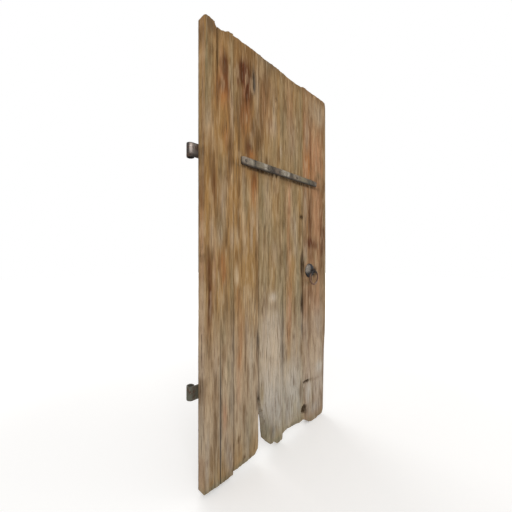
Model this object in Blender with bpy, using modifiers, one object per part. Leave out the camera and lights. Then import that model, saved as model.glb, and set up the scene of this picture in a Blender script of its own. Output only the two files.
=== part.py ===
"""An old plank door leaf: five worn planks on two ledges, cranked hinge bands, a strap and a ring pull.

Metres, +Z up, the weathered face towards -Y and the hinge edge towards -X. The leaf is first laid out in
its own measures, across from the hinge edge, deep from the weathered face and high from the lowest foot,
and x_at and y_at turn the first two into the scene's X and Y, whose origin is the middle of the whole
thing at floor level.
"""

import math

import bmesh
import bpy
from mathutils import Matrix, Vector

# Planks, from the hinge edge to the free edge
PLANK_WIDTHS = (0.1435, 0.1450, 0.1700, 0.1640, 0.2230)
PLANK_GAP = 0.0012
PLANK_THICKNESS = 0.042
FACE_WEAR = (0.0, 0.0008, 0.0016, 0.0012, 0.0004)
LEAF_HEIGHT = 1.821
ARRIS_WEAR = 0.0016

# Plank ends: how far across the plank, then the drop below the leaf's top or the rise above its foot
TOPS = (
    (
        (0.0, 0.009), (0.008, 0.003), (0.030, 0.0), (0.047, 0.004), (0.055, 0.019),
        (0.078, 0.020), (0.102, 0.014), (0.118, 0.004), (0.1435, 0.0),
    ),
    ((0.0, 0.004), (0.050, 0.006), (0.110, 0.003), (0.145, 0.006)),
    ((0.0, 0.005), (0.060, 0.007), (0.120, 0.006), (0.150, 0.010), (0.170, 0.009)),
    ((0.0, 0.010), (0.020, 0.014), (0.060, 0.016), (0.110, 0.015), (0.150, 0.014), (0.164, 0.008)),
    ((0.0, 0.006), (0.080, 0.007), (0.160, 0.005), (0.217, 0.006), (0.223, 0.009)),
)
FEET = (
    ((0.0, 0.016), (0.035, 0.014), (0.077, 0.012), (0.110, 0.014), (0.1435, 0.015)),
    ((0.0, 0.028), (0.050, 0.028), (0.090, 0.031), (0.120, 0.034), (0.134, 0.040), (0.145, 0.054)),
    ((0.041, 0.064), (0.060, 0.040), (0.081, 0.030), (0.107, 0.030), (0.132, 0.011), (0.150, 0.014), (0.170, 0.013)),
    ((0.0, 0.040), (0.010, 0.045), (0.038, 0.050), (0.071, 0.046), (0.105, 0.042), (0.138, 0.037), (0.164, 0.039)),
    (
        (0.0, 0.041), (0.011, 0.038), (0.039, 0.021), (0.058, 0.008), (0.087, 0.001),
        (0.117, 0.0), (0.148, 0.004), (0.180, 0.003), (0.197, 0.008), (0.204, 0.022),
    ),
)

# Worn long edges: the height, then how far the edge has worn back from the plank's side
LEFT_EDGES = {
    2: ((0.115, 0.039), (0.150, 0.036), (0.183, 0.028), (0.225, 0.015), (0.262, 0.007), (0.310, 0.0)),
}
RIGHT_EDGES = {
    1: ((0.500, 0.0), (0.525, 0.003), (0.560, 0.004), (0.600, 0.0)),
    3: (
        (0.420, 0.0), (0.530, 0.004), (0.790, 0.006), (0.815, 0.013), (0.830, 0.019),
        (0.905, 0.018), (0.925, 0.009), (0.950, 0.003), (1.120, 0.0),
    ),
    4: ((0.200, 0.018), (0.360, 0.012), (0.460, 0.003), (0.620, 0.0)),
}

# Splits that run in from a plank's end: the plank, across it, the split's mouth and its depth along the grain
SPLIT_TOP = (0, 0.0600, 0.0045, 0.236)
SPLIT_FOOT = (0, 0.0770, 0.0035, 0.445)

# Ledges, the two cross pieces on the back
LEDGE_HEIGHTS = (1.313, 0.391)
LEDGE_BREADTH = 0.115
LEDGE_THICKNESS = 0.030
LEDGE_CHAMFER = 0.007
LEDGE_INSET_HINGE = 0.058
LEDGE_INSET_FREE = 0.036

# Hinge bands, cranked down from the ledge and rolled to an eye that hangs on a pin in the wall
BAND_THICKNESS = 0.006
BAND_REACH = 0.520
BAND_BREADTH = 0.034
BAND_TIP = ((0.044, 0.011), (0.028, 0.0165), (0.013, 0.012), (0.001, 0.0016))
BAND_CRANK_START = 0.012
BAND_CRANK_END = 0.040
BAND_BEND_RADIUS = 0.008
EYE_BORE_RADIUS = 0.0095
EYE_BREADTH = 0.055
EYE_OVERHANG = 0.023
EYE_WRAP = math.radians(300)
EYE_SHOULDER = 0.050

# Front strap, nailed over the planks at the upper ledge's height
STRAP_FIRST_PLANK = 1
STRAP_LAST_PLANK = 4
STRAP_START_ACROSS = 0.038
STRAP_END_ACROSS = 0.117
STRAP_THICKNESS = 0.009
STRAP_ARRIS = 0.0018
# Along the strap from its left end, or back from its right end, then half its breadth there
STRAP_LEFT = ((0.0, 0.0150), (0.010, 0.0180))
STRAP_RIGHT = ((0.030, 0.0150), (0.004, 0.0143), (0.0, 0.0095))
STRAP_LOWER_DENT = (0.236, 0.0160)
STRAP_UPPER_DENT = (0.310, 0.0172)

# Nails: a square tapered shank under a hammered head
NAIL_SIDE = 0.0055
NAIL_TIP_SIDE = 0.0020
NAIL_HEAD_RADIUS = 0.0070
NAIL_CROWN_RADIUS = 0.0025
NAIL_HEAD_HEIGHT = 0.0040
NAIL_POINT_COVER = 0.012
NAIL_EDGE = 0.0215
LEDGE_NAILS = ((0.096, 0.112), (0.050, 0.104), (0.055, 0.122), (0.050, 0.116), (0.060, 0.150))
BAND_NAILS = ((0, 0.085), (1, 0.092), (2, 0.088))
BAND_LAST_NAIL_BACK = 0.028
STRAP_NAILS = ((1, 0.060), (2, 0.054), (2, 0.134), (3, 0.100), (4, 0.085))

# Ring pull: a dished rose, a staple through it and the plank, and the ring that hangs in the staple's eye
PULL_PLANK = 4
PULL_ACROSS = 0.055
PULL_HEIGHT = 0.835
ROSE_RADIUS = 0.038
ROSE_RISE = 0.016
ROSE_WALL = 0.0025
ROSE_LIP = 0.0025
RING_RADIUS = 0.0355
RING_WIRE_RADIUS = 0.0045
STAPLE_ROD_RADIUS = 0.0030
STAPLE_LEG_GAP = 0.0008
STAPLE_EYE_BORE = 0.0060
STAPLE_PROUD = 0.0140
STAPLE_NECK_RADIUS = 0.0060
STAPLE_CLENCH_RADIUS = 0.0050
STAPLE_CLENCH_LENGTH = 0.024
PLATE_WIDTH = 0.034
PLATE_HEIGHT = 0.080
PLATE_THICKNESS = 0.003
PLATE_CORNER = 0.006

# Clearances: FIT is the gap kept where one piece seats on or in another
FIT = 0.0003
NAIL_PLAY = 0.0005
PLATE_HOLE_CLEARANCE = 0.0015
OVERCUT = 0.004

# Rot and knocks in the face: the centre across the leaf and high, then half sizes across, deep and high
FACE_HOLES = {
    "slot_hole": ((4, 0.022, 0.240), (0.026, 0.024, 0.0050)),
    "rot_hole": ((4, 0.010, 0.098), (0.027, 0.020, 0.024)),
    "knot_slot": ((1, 0.116, 1.680), (0.0040, 0.012, 0.047)),
    "edge_hole": ((1, 0.147, 0.271), (0.010, 0.016, 0.012)),
}

ARC_STEP = math.radians(12)
TURN_STEPS = 40
RING_STEPS = 44
WIRE_STEPS = 12
HEAD_SIDES = 8
WELD = 0.00001


# Places that follow from the sizes
LEAF_WIDTH = sum(PLANK_WIDTHS) + PLANK_GAP * (len(PLANK_WIDTHS) - 1)
PLANK_STARTS = tuple(sum(PLANK_WIDTHS[:i]) + PLANK_GAP * i for i in range(len(PLANK_WIDTHS)))
LEDGE_SEAT = PLANK_THICKNESS + FIT
LEDGE_BACK = LEDGE_SEAT + LEDGE_THICKNESS
BAND_BACK = LEDGE_BACK + FIT + BAND_THICKNESS
EYE_OUTER_RADIUS = EYE_BORE_RADIUS + BAND_THICKNESS
EYE_DEPTH = PLANK_THICKNESS + FIT + EYE_OUTER_RADIUS
STRAP_SEAT = min(FACE_WEAR[STRAP_FIRST_PLANK : STRAP_LAST_PLANK + 1]) - FIT
NAIL_ROW_OFFSET = LEDGE_BREADTH / 2 - NAIL_EDGE
STAPLE_LEG = STAPLE_ROD_RADIUS + STAPLE_LEG_GAP / 2
STAPLE_EYE_RADIUS = STAPLE_EYE_BORE + STAPLE_ROD_RADIUS
STAPLE_STANDOFF = ROSE_RISE + STAPLE_PROUD
STAPLE_FRONT = STAPLE_STANDOFF + STAPLE_EYE_RADIUS + STAPLE_ROD_RADIUS
BACK_MOST = max(BAND_BACK + FIT + NAIL_HEAD_HEIGHT, EYE_DEPTH + EYE_OUTER_RADIUS)
X_SHIFT = -(LEAF_WIDTH - EYE_OVERHANG - EYE_OUTER_RADIUS) / 2
Y_SHIFT = (STAPLE_FRONT - BACK_MOST) / 2

for old in list(bpy.data.objects):
    bpy.data.objects.remove(old, do_unlink=True)

parts = bpy.data.collections.new("plank_door_leaf")
cutters = bpy.data.collections.new("cutters")
cutters.hide_render = True
for group in (parts, cutters):
    bpy.context.scene.collection.children.link(group)


def x_at(across):
    """The scene's X of a place so far across the leaf from the hinge edge."""
    return across + X_SHIFT


def y_at(deep):
    """The scene's Y of a place so far behind the weathered face."""
    return deep + Y_SHIFT


def across_of(place):
    """How far across the leaf a (plank, across the plank) place lies."""
    plank, across = place
    return PLANK_STARTS[plank] + across


def place_of(across):
    """The (plank, across the plank) place that lies so far across the leaf."""
    plank = max(i for i, start in enumerate(PLANK_STARTS) if start <= across)
    return plank, across - PLANK_STARTS[plank]


# Materials
def material(name, colour, roughness, metallic):
    made = bpy.data.materials.new(name)
    made.use_nodes = True
    shader = made.node_tree.nodes["Principled BSDF"]
    shader.inputs["Base Color"].default_value = (*colour, 1.0)
    shader.inputs["Roughness"].default_value = roughness
    shader.inputs["Metallic"].default_value = metallic
    return made


HONEY_WOOD = material("honey_wood", (0.38, 0.20, 0.08), 0.85, 0.0)
GREY_WOOD = material("grey_wood", (0.36, 0.26, 0.15), 0.9, 0.0)
PINK_WOOD = material("pink_wood", (0.40, 0.22, 0.11), 0.85, 0.0)
LEDGE_WOOD = material("ledge_wood", (0.24, 0.16, 0.09), 0.9, 0.0)
STRAP_IRON = material("strap_iron", (0.12, 0.11, 0.09), 0.7, 0.6)
BAND_IRON = material("band_iron", (0.10, 0.08, 0.06), 0.75, 0.5)
PULL_IRON = material("pull_iron", (0.07, 0.06, 0.055), 0.6, 0.6)
RUSTY_IRON = material("rusty_iron", (0.14, 0.06, 0.03), 0.85, 0.3)
PLANK_WOODS = (HONEY_WOOD, HONEY_WOOD, GREY_WOOD, GREY_WOOD, PINK_WOOD)


# Helpers that make solids
def put(name, data, finish, group=parts):
    """A new object of this data, with its material, in the parts or the cutters."""
    made = bpy.data.objects.new(name, data)
    group.objects.link(made)
    if finish:
        data.materials.append(finish)
    if group is cutters:
        made.hide_render = True
        made.display_type = "WIRE"
    return made


def standing(made, x, y, z):
    """Stands a flat outline up, its own X along the leaf, its own Y up, and its extrusion front to back."""
    made.rotation_euler = (math.pi / 2, 0, 0)
    made.location = (x, y, z)
    return made


def mesh_of(source, name):
    """The evaluated object as one welded mesh, with the source object removed."""
    graph = bpy.context.evaluated_depsgraph_get()
    mesh = bpy.data.meshes.new_from_object(source.evaluated_get(graph))
    mesh.name = name
    form = bmesh.new()
    form.from_mesh(mesh)
    bmesh.ops.remove_doubles(form, verts=form.verts, dist=WELD)
    bmesh.ops.recalc_face_normals(form, faces=form.faces)
    form.to_mesh(mesh)
    form.free()
    bpy.data.objects.remove(source, do_unlink=True)
    return mesh


def flat_solid(name, outlines, thickness, finish, group=parts):
    """Closed outlines in one plane, filled and extruded half the thickness each way, as a mesh object."""
    curve = bpy.data.curves.new(name + "_outline", "CURVE")
    curve.dimensions = "2D"
    curve.fill_mode = "BOTH"
    curve.extrude = thickness / 2
    for points in outlines:
        spline = curve.splines.new("POLY")
        spline.points.add(len(points) - 1)
        for point, (x, y) in zip(spline.points, points):
            point.co = (x, y, 0, 1)
        spline.use_cyclic_u = True
    guide = bpy.data.objects.new(name + "_guide", curve)
    bpy.context.scene.collection.objects.link(guide)
    return put(name, mesh_of(guide, name), finish, group)


def cut(made, cutter, operation="DIFFERENCE"):
    modifier = made.modifiers.new(cutter.name, "BOOLEAN")
    modifier.operation = operation
    modifier.object = cutter


def soften(made, width, segments=1):
    modifier = made.modifiers.new("worn_arris", "BEVEL")
    modifier.width = width
    modifier.segments = segments
    modifier.limit_method = "ANGLE"
    modifier.angle_limit = math.radians(50)


def arc(centre, radius, start, end):
    """Points on an arc from one angle to another, both ends in."""
    steps = max(2, math.ceil(abs(end - start) / ARC_STEP))
    angles = [start + (end - start) * i / steps for i in range(steps + 1)]
    return [(centre[0] + radius * math.cos(a), centre[1] + radius * math.sin(a)) for a in angles]


def rounded(corners, radius):
    """An open path through these corners, each inner corner turned on an arc of this radius."""
    path = [corners[0]]
    for before, corner, after in zip(corners, corners[1:], corners[2:]):
        back = (Vector(before) - Vector(corner)).normalized()
        ahead = (Vector(after) - Vector(corner)).normalized()
        half = back.angle(ahead) / 2
        centre = Vector(corner) + (back + ahead).normalized() * radius / math.sin(half)
        touch = radius / math.tan(half)
        first = Vector(corner) + back * touch - centre
        last = Vector(corner) + ahead * touch - centre
        start = math.atan2(first.y, first.x)
        sweep = -first.angle_signed(last)
        path += arc(centre, radius, start, start + sweep)
    return path + [corners[-1]]


def strip(path, thickness):
    """The outline of a strip of this thickness that follows an open path."""
    sides = ([], [])
    for i, here in enumerate(path):
        before = Vector(path[max(i - 1, 0)])
        after = Vector(path[min(i + 1, len(path) - 1)])
        along = (after - before).normalized()
        for side, points in zip((1, -1), sides):
            points.append((here[0] - along.y * side * thickness / 2, here[1] + along.x * side * thickness / 2))
    return sides[0] + sides[1][::-1]


def stadium(half_width, half_height):
    """A slot outline with round ends, its long side upright."""
    reach = half_height - half_width
    top = arc((0, reach), half_width, 0, math.pi)
    return top + arc((0, -reach), half_width, math.pi, 2 * math.pi)


def ball_cutter(name, place, half_sizes):
    """A squashed ball, centred on the weathered face."""
    form = bmesh.new()
    bmesh.ops.create_uvsphere(form, u_segments=16, v_segments=10, radius=1.0)
    bmesh.ops.scale(form, verts=form.verts, vec=half_sizes)
    mesh = bpy.data.meshes.new(name)
    form.to_mesh(mesh)
    form.free()
    plank, across, height = place
    made = put(name, mesh, None, cutters)
    made.location = (x_at(across_of((plank, across))), y_at(0), height)
    return made


# Nails
def nail_length(carried):
    """A nail through this much iron and wood, its point stopping short of the far face."""
    return carried - NAIL_POINT_COVER


def square_cone(form, length, side, tip_side, start):
    """A four-sided taper that hangs down from a height, its flats along X and Y."""
    turn = Matrix.Rotation(math.pi / 4, 4, "Z")
    place = Matrix.Translation((0, 0, start - length / 2)) @ turn
    corner = math.sqrt(0.5)
    bmesh.ops.create_cone(
        form, cap_ends=True, segments=4, radius1=tip_side * corner, radius2=side * corner, depth=length, matrix=place
    )


def nail_mesh(name, length):
    """A nail with its head's seat at height 0: the shank below it, the hammered head above."""
    shank = bmesh.new()
    square_cone(shank, length + NAIL_HEAD_HEIGHT / 2, NAIL_SIDE, NAIL_TIP_SIDE, NAIL_HEAD_HEIGHT / 2)
    shank_mesh = bpy.data.meshes.new(name)
    shank.to_mesh(shank_mesh)
    shank.free()
    head = bmesh.new()
    place = Matrix.Translation((0, 0, NAIL_HEAD_HEIGHT / 2))
    bmesh.ops.create_cone(
        head, cap_ends=True, segments=HEAD_SIDES, radius1=NAIL_HEAD_RADIUS, radius2=NAIL_CROWN_RADIUS,
        depth=NAIL_HEAD_HEIGHT, matrix=place,
    )
    head_mesh = bpy.data.meshes.new(name + "_head")
    head.to_mesh(head_mesh)
    head.free()
    body = put(name + "_blank", shank_mesh, None, cutters)
    top = put(name + "_head", head_mesh, None, cutters)
    cut(body, top, "UNION")
    bpy.context.view_layer.update()
    mesh = mesh_of(body, name)
    mesh.materials.append(RUSTY_IRON)
    bpy.data.objects.remove(top, do_unlink=True)
    return mesh


def hole_mesh(name, length):
    """The hole that a nail of this length takes: its taper with some play, and longer at both ends."""
    form = bmesh.new()
    side = NAIL_SIDE + 2 * NAIL_PLAY
    tip_side = NAIL_TIP_SIDE + 2 * NAIL_PLAY
    square_cone(form, length + OVERCUT + NAIL_PLAY, side, tip_side, OVERCUT)
    mesh = bpy.data.meshes.new(name)
    form.to_mesh(mesh)
    form.free()
    return mesh


HEAD_BACK = Matrix.Rotation(-math.pi / 2, 4, "X")
HEAD_FRONT = Matrix.Rotation(math.pi / 2, 4, "X")
nails = []


def drive(kind, meshes, places, deep, turn):
    """Nails of one kind at (plank, across, height) places, their heads seated at one depth."""
    nail, hole = meshes
    for count, (plank, across, height) in enumerate(places, 1):
        name = f"{kind}_{count:02d}"
        seat = (x_at(across_of((plank, across))), y_at(deep), height)
        made = put(name, nail, None)
        made.matrix_world = Matrix.Translation(seat) @ turn
        hollow = put(name + "_hole", hole, None, cutters)
        hollow.matrix_world = Matrix.Translation(seat) @ turn
        nails.append((kind, plank, height, hollow))


ledge_nail_length = nail_length(PLANK_THICKNESS + LEDGE_THICKNESS)
band_nail_length = nail_length(PLANK_THICKNESS + LEDGE_THICKNESS + BAND_THICKNESS)
strap_nail_length = nail_length(PLANK_THICKNESS + LEDGE_THICKNESS + STRAP_THICKNESS)
ledge_nail = (nail_mesh("ledge_nail", ledge_nail_length), hole_mesh("ledge_nail_hole", ledge_nail_length))
band_nail = (nail_mesh("band_nail", band_nail_length), hole_mesh("band_nail_hole", band_nail_length))
strap_nail = (nail_mesh("strap_nail", strap_nail_length), hole_mesh("strap_nail_hole", strap_nail_length))

ledge_places = [
    (plank, across, height + NAIL_ROW_OFFSET * (1 - 2 * row))
    for height in LEDGE_HEIGHTS
    for plank, pair in enumerate(LEDGE_NAILS)
    for row, across in enumerate(pair)
]
band_spots = [*BAND_NAILS, place_of(BAND_REACH - BAND_LAST_NAIL_BACK)]
band_places = [(plank, across, height) for height in LEDGE_HEIGHTS for plank, across in band_spots]
strap_places = [(plank, across, LEDGE_HEIGHTS[0]) for plank, across in STRAP_NAILS]
drive("ledge_nail", ledge_nail, ledge_places, LEDGE_BACK + FIT, HEAD_BACK)
drive("band_nail", band_nail, band_places, BAND_BACK + FIT, HEAD_BACK)
drive("strap_nail", strap_nail, strap_places, STRAP_SEAT - STRAP_THICKNESS - FIT, HEAD_FRONT)


def bore_for_nails(made, wanted):
    """Cuts the holes of the nails that this piece takes, in one Boolean on their collection."""
    held = bpy.data.collections.new(made.name + "_nail_holes")
    held.hide_render = True
    cutters.children.link(held)
    for kind, plank, height, hollow in nails:
        if wanted(kind, plank, height):
            held.objects.link(hollow)
    modifier = made.modifiers.new("nail_holes", "BOOLEAN")
    modifier.operand_type = "COLLECTION"
    modifier.collection = held


def level_of(height):
    """The height of the ledge that a nail at this height belongs to."""
    return min(LEDGE_HEIGHTS, key=lambda level: abs(level - height))


# Cutters for the splits, rot and knocks
def split_cutter(name, split, mouth_at, inwards):
    """A wedge through the plank: its mouth beyond the plank's end, its point along the grain."""
    plank, across, mouth, depth = split
    start = mouth_at - inwards * OVERCUT
    point = mouth_at + inwards * depth
    blunt = mouth / 8
    outline = ((-mouth / 2, start), (mouth / 2, start), (blunt, point), (-blunt, point))
    made = flat_solid(name, (outline,), PLANK_THICKNESS + 4 * OVERCUT, None, cutters)
    return standing(made, x_at(across_of((plank, across))), y_at(PLANK_THICKNESS / 2), 0)


top_split = split_cutter("top_split", SPLIT_TOP, LEAF_HEIGHT, -1)
foot_split = split_cutter("foot_split", SPLIT_FOOT, 0.0, 1)
face_holes = {name: ball_cutter(name, *form) for name, form in FACE_HOLES.items()}
HOLES_IN = {1: ("knot_slot", "edge_hole"), 2: ("edge_hole",), 3: ("rot_hole", "slot_hole"), 4: ("rot_hole", "slot_hole")}

# The slot for the staple's two legs, through the rose, the plank and the plate
leg_reach = STAPLE_LEG + STAPLE_ROD_RADIUS
leg_slot = flat_solid(
    "leg_slot", (stadium(STAPLE_ROD_RADIUS + FIT, leg_reach + FIT),),
    STAPLE_STANDOFF + PLANK_THICKNESS + OVERCUT, None, cutters,
)
pull_x = x_at(across_of((PULL_PLANK, PULL_ACROSS)))
standing(leg_slot, pull_x, y_at((PLANK_THICKNESS + OVERCUT - STAPLE_STANDOFF) / 2), PULL_HEIGHT)


# Planks
def plank_outline(index):
    """Once round the plank: along its foot, up its right edge, back along its top and down its left edge."""
    width = PLANK_WIDTHS[index]
    foot = [(across, rise) for across, rise in FEET[index]]
    top = [(across, LEAF_HEIGHT - drop) for across, drop in TOPS[index]]
    right = [(width - worn, height) for height, worn in RIGHT_EDGES.get(index, ())]
    left = [(worn, height) for height, worn in LEFT_EDGES.get(index, ())]
    return foot + right + top[::-1] + left[::-1]


for index in range(len(PLANK_WIDTHS)):
    wear = FACE_WEAR[index]
    thickness = PLANK_THICKNESS - wear
    plank = flat_solid(f"plank_{index + 1}", (plank_outline(index),), thickness, PLANK_WOODS[index])
    standing(plank, x_at(PLANK_STARTS[index]), y_at(wear + thickness / 2), 0)
    soften(plank, ARRIS_WEAR)
    bore_for_nails(plank, lambda kind, plank_of, height, index=index: plank_of == index)
    for name in HOLES_IN.get(index, ()):
        cut(plank, face_holes[name])
    if index == SPLIT_TOP[0]:
        cut(plank, top_split)
    if index == SPLIT_FOOT[0]:
        cut(plank, foot_split)
    if index == PULL_PLANK:
        cut(plank, leg_slot)


# Ledges
def ledge_section():
    """The ledge's section, deep and high: its two back arrises are chamfered."""
    half = LEDGE_BREADTH / 2
    back = LEDGE_THICKNESS
    return (
        (0, -half), (back - LEDGE_CHAMFER, -half), (back, LEDGE_CHAMFER - half),
        (back, half - LEDGE_CHAMFER), (back - LEDGE_CHAMFER, half), (0, half),
    )


for word, height in zip(("upper", "lower"), LEDGE_HEIGHTS):
    length = LEAF_WIDTH - LEDGE_INSET_HINGE - LEDGE_INSET_FREE
    ledge = flat_solid(f"{word}_ledge", (ledge_section(),), length, LEDGE_WOOD)
    ledge.rotation_euler = (math.pi / 2, 0, math.pi / 2)
    ledge.location = (x_at(LEDGE_INSET_HINGE + length / 2), y_at(LEDGE_SEAT), height)
    bore_for_nails(ledge, lambda kind, plank_of, at, height=height: level_of(at) == height)


# Hinge bands
def band_path():
    """The band's middle line seen from above: from its tip over the ledge, down the crank and round the eye."""
    high = LEDGE_BACK + FIT + BAND_THICKNESS / 2
    low = PLANK_THICKNESS + FIT + BAND_THICKNESS / 2
    corners = [(BAND_REACH, high), (BAND_CRANK_END, high), (BAND_CRANK_START, low), (-EYE_OVERHANG, low)]
    middle = EYE_BORE_RADIUS + BAND_THICKNESS / 2
    start = -math.pi / 2
    eye = arc((-EYE_OVERHANG, low + middle), middle, start, start - EYE_WRAP)
    return rounded(corners, BAND_BEND_RADIUS)[:-1] + eye


def band_side():
    """The band seen from the front: full height at the eye, a shoulder, then a taper to a leaf-shaped tip."""
    eye_end = -EYE_OVERHANG - EYE_OUTER_RADIUS - OVERCUT
    shoulder = (BAND_CRANK_START + EYE_SHOULDER, BAND_BREADTH / 2)
    upper = [(eye_end, EYE_BREADTH / 2), (BAND_CRANK_START, EYE_BREADTH / 2), shoulder]
    upper += [(BAND_REACH - back, half) for back, half in BAND_TIP]
    return upper + [(x, -z) for x, z in upper[::-1]]


for word, height in zip(("upper", "lower"), LEDGE_HEIGHTS):
    band = flat_solid(f"{word}_band", (strip(band_path(), BAND_THICKNESS),), EYE_BREADTH, BAND_IRON)
    band.location = (x_at(0), y_at(0), height)
    side = flat_solid(f"{word}_band_side", (band_side(),), 2 * BACK_MOST, None, cutters)
    standing(side, x_at(0), y_at(BACK_MOST / 2), height)
    cut(band, side, "INTERSECT")
    bore_for_nails(band, lambda kind, plank_of, at, height=height: kind == "band_nail" and at == height)


# Front strap
strap_start = across_of((STRAP_FIRST_PLANK, STRAP_START_ACROSS))
strap_length = across_of((STRAP_LAST_PLANK, STRAP_END_ACROSS)) - strap_start
strap_lower = STRAP_LEFT + (STRAP_LOWER_DENT,) + tuple((strap_length - back, half) for back, half in STRAP_RIGHT)
strap_upper = STRAP_LEFT + (STRAP_UPPER_DENT,) + tuple((strap_length - back, half) for back, half in STRAP_RIGHT)
strap_outline = [(along, -half) for along, half in strap_lower] + list(strap_upper[::-1])
strap = flat_solid("front_strap", (strap_outline,), STRAP_THICKNESS, STRAP_IRON)
standing(strap, x_at(strap_start), y_at(STRAP_SEAT - STRAP_THICKNESS / 2), LEDGE_HEIGHTS[0])
soften(strap, STRAP_ARRIS)
bore_for_nails(strap, lambda kind, plank_of, at: kind == "strap_nail")


# Ring pull: the rose is a turned dish, open at the back
def dish_profile():
    """The dish's wall: down the outer dome to its lip, then back up the inner dome to the axis."""
    quarter = math.pi / 2
    outer = arc((0, ROSE_LIP), 1.0, quarter, 0)
    dome = [(x * ROSE_RADIUS, ROSE_LIP + (z - ROSE_LIP) * (ROSE_RISE - ROSE_LIP)) for x, z in outer]
    inner_radius = ROSE_RADIUS - ROSE_WALL
    inner_rise = ROSE_RISE - ROSE_WALL
    inner = [(x * inner_radius, (z - ROSE_LIP) * inner_rise) for x, z in outer[::-1]]
    return [(0, dome[0][1])] + dome[1:] + [(ROSE_RADIUS, 0)] + inner[:-1] + [(0, inner_rise)]


def turned(name, profile, finish):
    """A profile in X and Z turned once round Z by a Screw modifier."""
    mesh = bpy.data.meshes.new(name)
    form = bmesh.new()
    corners = [form.verts.new((x, 0, z)) for x, z in profile]
    for first, second in zip(corners, corners[1:]):
        form.edges.new((first, second))
    form.to_mesh(mesh)
    form.free()
    made = put(name, mesh, finish)
    screw = made.modifiers.new("turn", "SCREW")
    screw.steps = TURN_STEPS
    screw.render_steps = TURN_STEPS
    screw.use_merge_vertices = True
    screw.merge_threshold = WELD
    screw.use_smooth_shade = True
    return made


rose = turned("rose", dish_profile(), PULL_IRON)
rose.rotation_euler = (math.pi / 2, 0, 0)
rose.location = (pull_x, y_at(FACE_WEAR[PULL_PLANK] - FIT), PULL_HEIGHT)
cut(rose, leg_slot)

# The plate on the back, under the clenched legs
half_wide = PLATE_WIDTH / 2 - PLATE_CORNER
half_high = PLATE_HEIGHT / 2 - PLATE_CORNER
plate_outline = []
for quarter, (x, z) in enumerate(((1, 1), (-1, 1), (-1, -1), (1, -1))):
    turn = quarter * math.pi / 2
    plate_outline += arc((x * half_wide, z * half_high), PLATE_CORNER, turn, turn + math.pi / 2)
plate_hole = stadium(STAPLE_ROD_RADIUS + FIT, leg_reach + PLATE_HOLE_CLEARANCE)
plate = flat_solid("clench_plate", (plate_outline, plate_hole), PLATE_THICKNESS, RUSTY_IRON)
standing(plate, pull_x, y_at(LEDGE_SEAT + PLATE_THICKNESS / 2), PULL_HEIGHT)


def staple_half():
    """Half of the staple's rod, deep and high: from the front of its eye, by its neck, to its clenched end."""
    leg = STAPLE_LEG
    neck_high = leg + STAPLE_NECK_RADIUS
    span = STAPLE_EYE_RADIUS + STAPLE_NECK_RADIUS
    neck_deep = math.sqrt(span**2 - neck_high**2)
    meet = math.atan2(neck_high, neck_deep)
    eye = arc((-STAPLE_STANDOFF, 0), STAPLE_EYE_RADIUS, math.pi, meet)
    neck = arc((neck_deep - STAPLE_STANDOFF, neck_high), STAPLE_NECK_RADIUS, meet + math.pi, 1.5 * math.pi)
    run = LEDGE_SEAT + PLATE_THICKNESS + FIT + STAPLE_ROD_RADIUS
    bend = (run - STAPLE_CLENCH_RADIUS, leg + STAPLE_CLENCH_RADIUS)
    clench = arc(bend, STAPLE_CLENCH_RADIUS, -math.pi / 2, 0)
    return eye + neck[1:] + clench + [(run, bend[1] + STAPLE_CLENCH_LENGTH)]


half = staple_half()
rod = [(deep, -high) for deep, high in half[:0:-1]] + half
staple_curve = bpy.data.curves.new("staple", "CURVE")
staple_curve.dimensions = "3D"
staple_curve.bevel_depth = STAPLE_ROD_RADIUS
staple_curve.bevel_resolution = 2
staple_curve.use_fill_caps = True
spline = staple_curve.splines.new("POLY")
spline.points.add(len(rod) - 1)
for point, (deep, high) in zip(spline.points, rod):
    point.co = (0, deep, high, 1)
staple = put("staple", staple_curve, PULL_IRON)
staple.location = (pull_x, y_at(0), PULL_HEIGHT)

# The ring hangs in the staple's eye and swings about the middle of its own wire there
hang = STAPLE_EYE_BORE - RING_WIRE_RADIUS - FIT
ring_pivot = bpy.data.objects.new("ring_pivot", None)
parts.objects.link(ring_pivot)
ring_pivot.location = (pull_x, y_at(-STAPLE_STANDOFF), PULL_HEIGHT - hang)
bpy.ops.mesh.primitive_torus_add(
    major_segments=RING_STEPS, minor_segments=WIRE_STEPS, major_radius=RING_RADIUS, minor_radius=RING_WIRE_RADIUS
)
ring = bpy.context.object
ring.name = "ring"
for group in list(ring.users_collection):
    group.objects.unlink(ring)
parts.objects.link(ring)
ring.data.materials.append(RUSTY_IRON)
ring.parent = ring_pivot
ring.rotation_euler = (math.pi / 2, 0, 0)
ring.location = (0, 0, -RING_RADIUS)

for made in parts.objects:
    if made.type == "MESH" and made.name in ("ring", "rose", "upper_band", "lower_band"):
        made.data.shade_smooth()
        made.data.set_sharp_from_angle(angle=math.radians(35))
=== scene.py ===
# %% [markdown]
# # An old plank door leaf
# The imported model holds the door's true sizes: five planks, two ledges, the hinge bands, a strap, the ring
# pull and its nails. This notebook gives them their looks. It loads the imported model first, because every
# surface below is measured from it and never moves it.

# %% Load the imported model
import math

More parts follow.
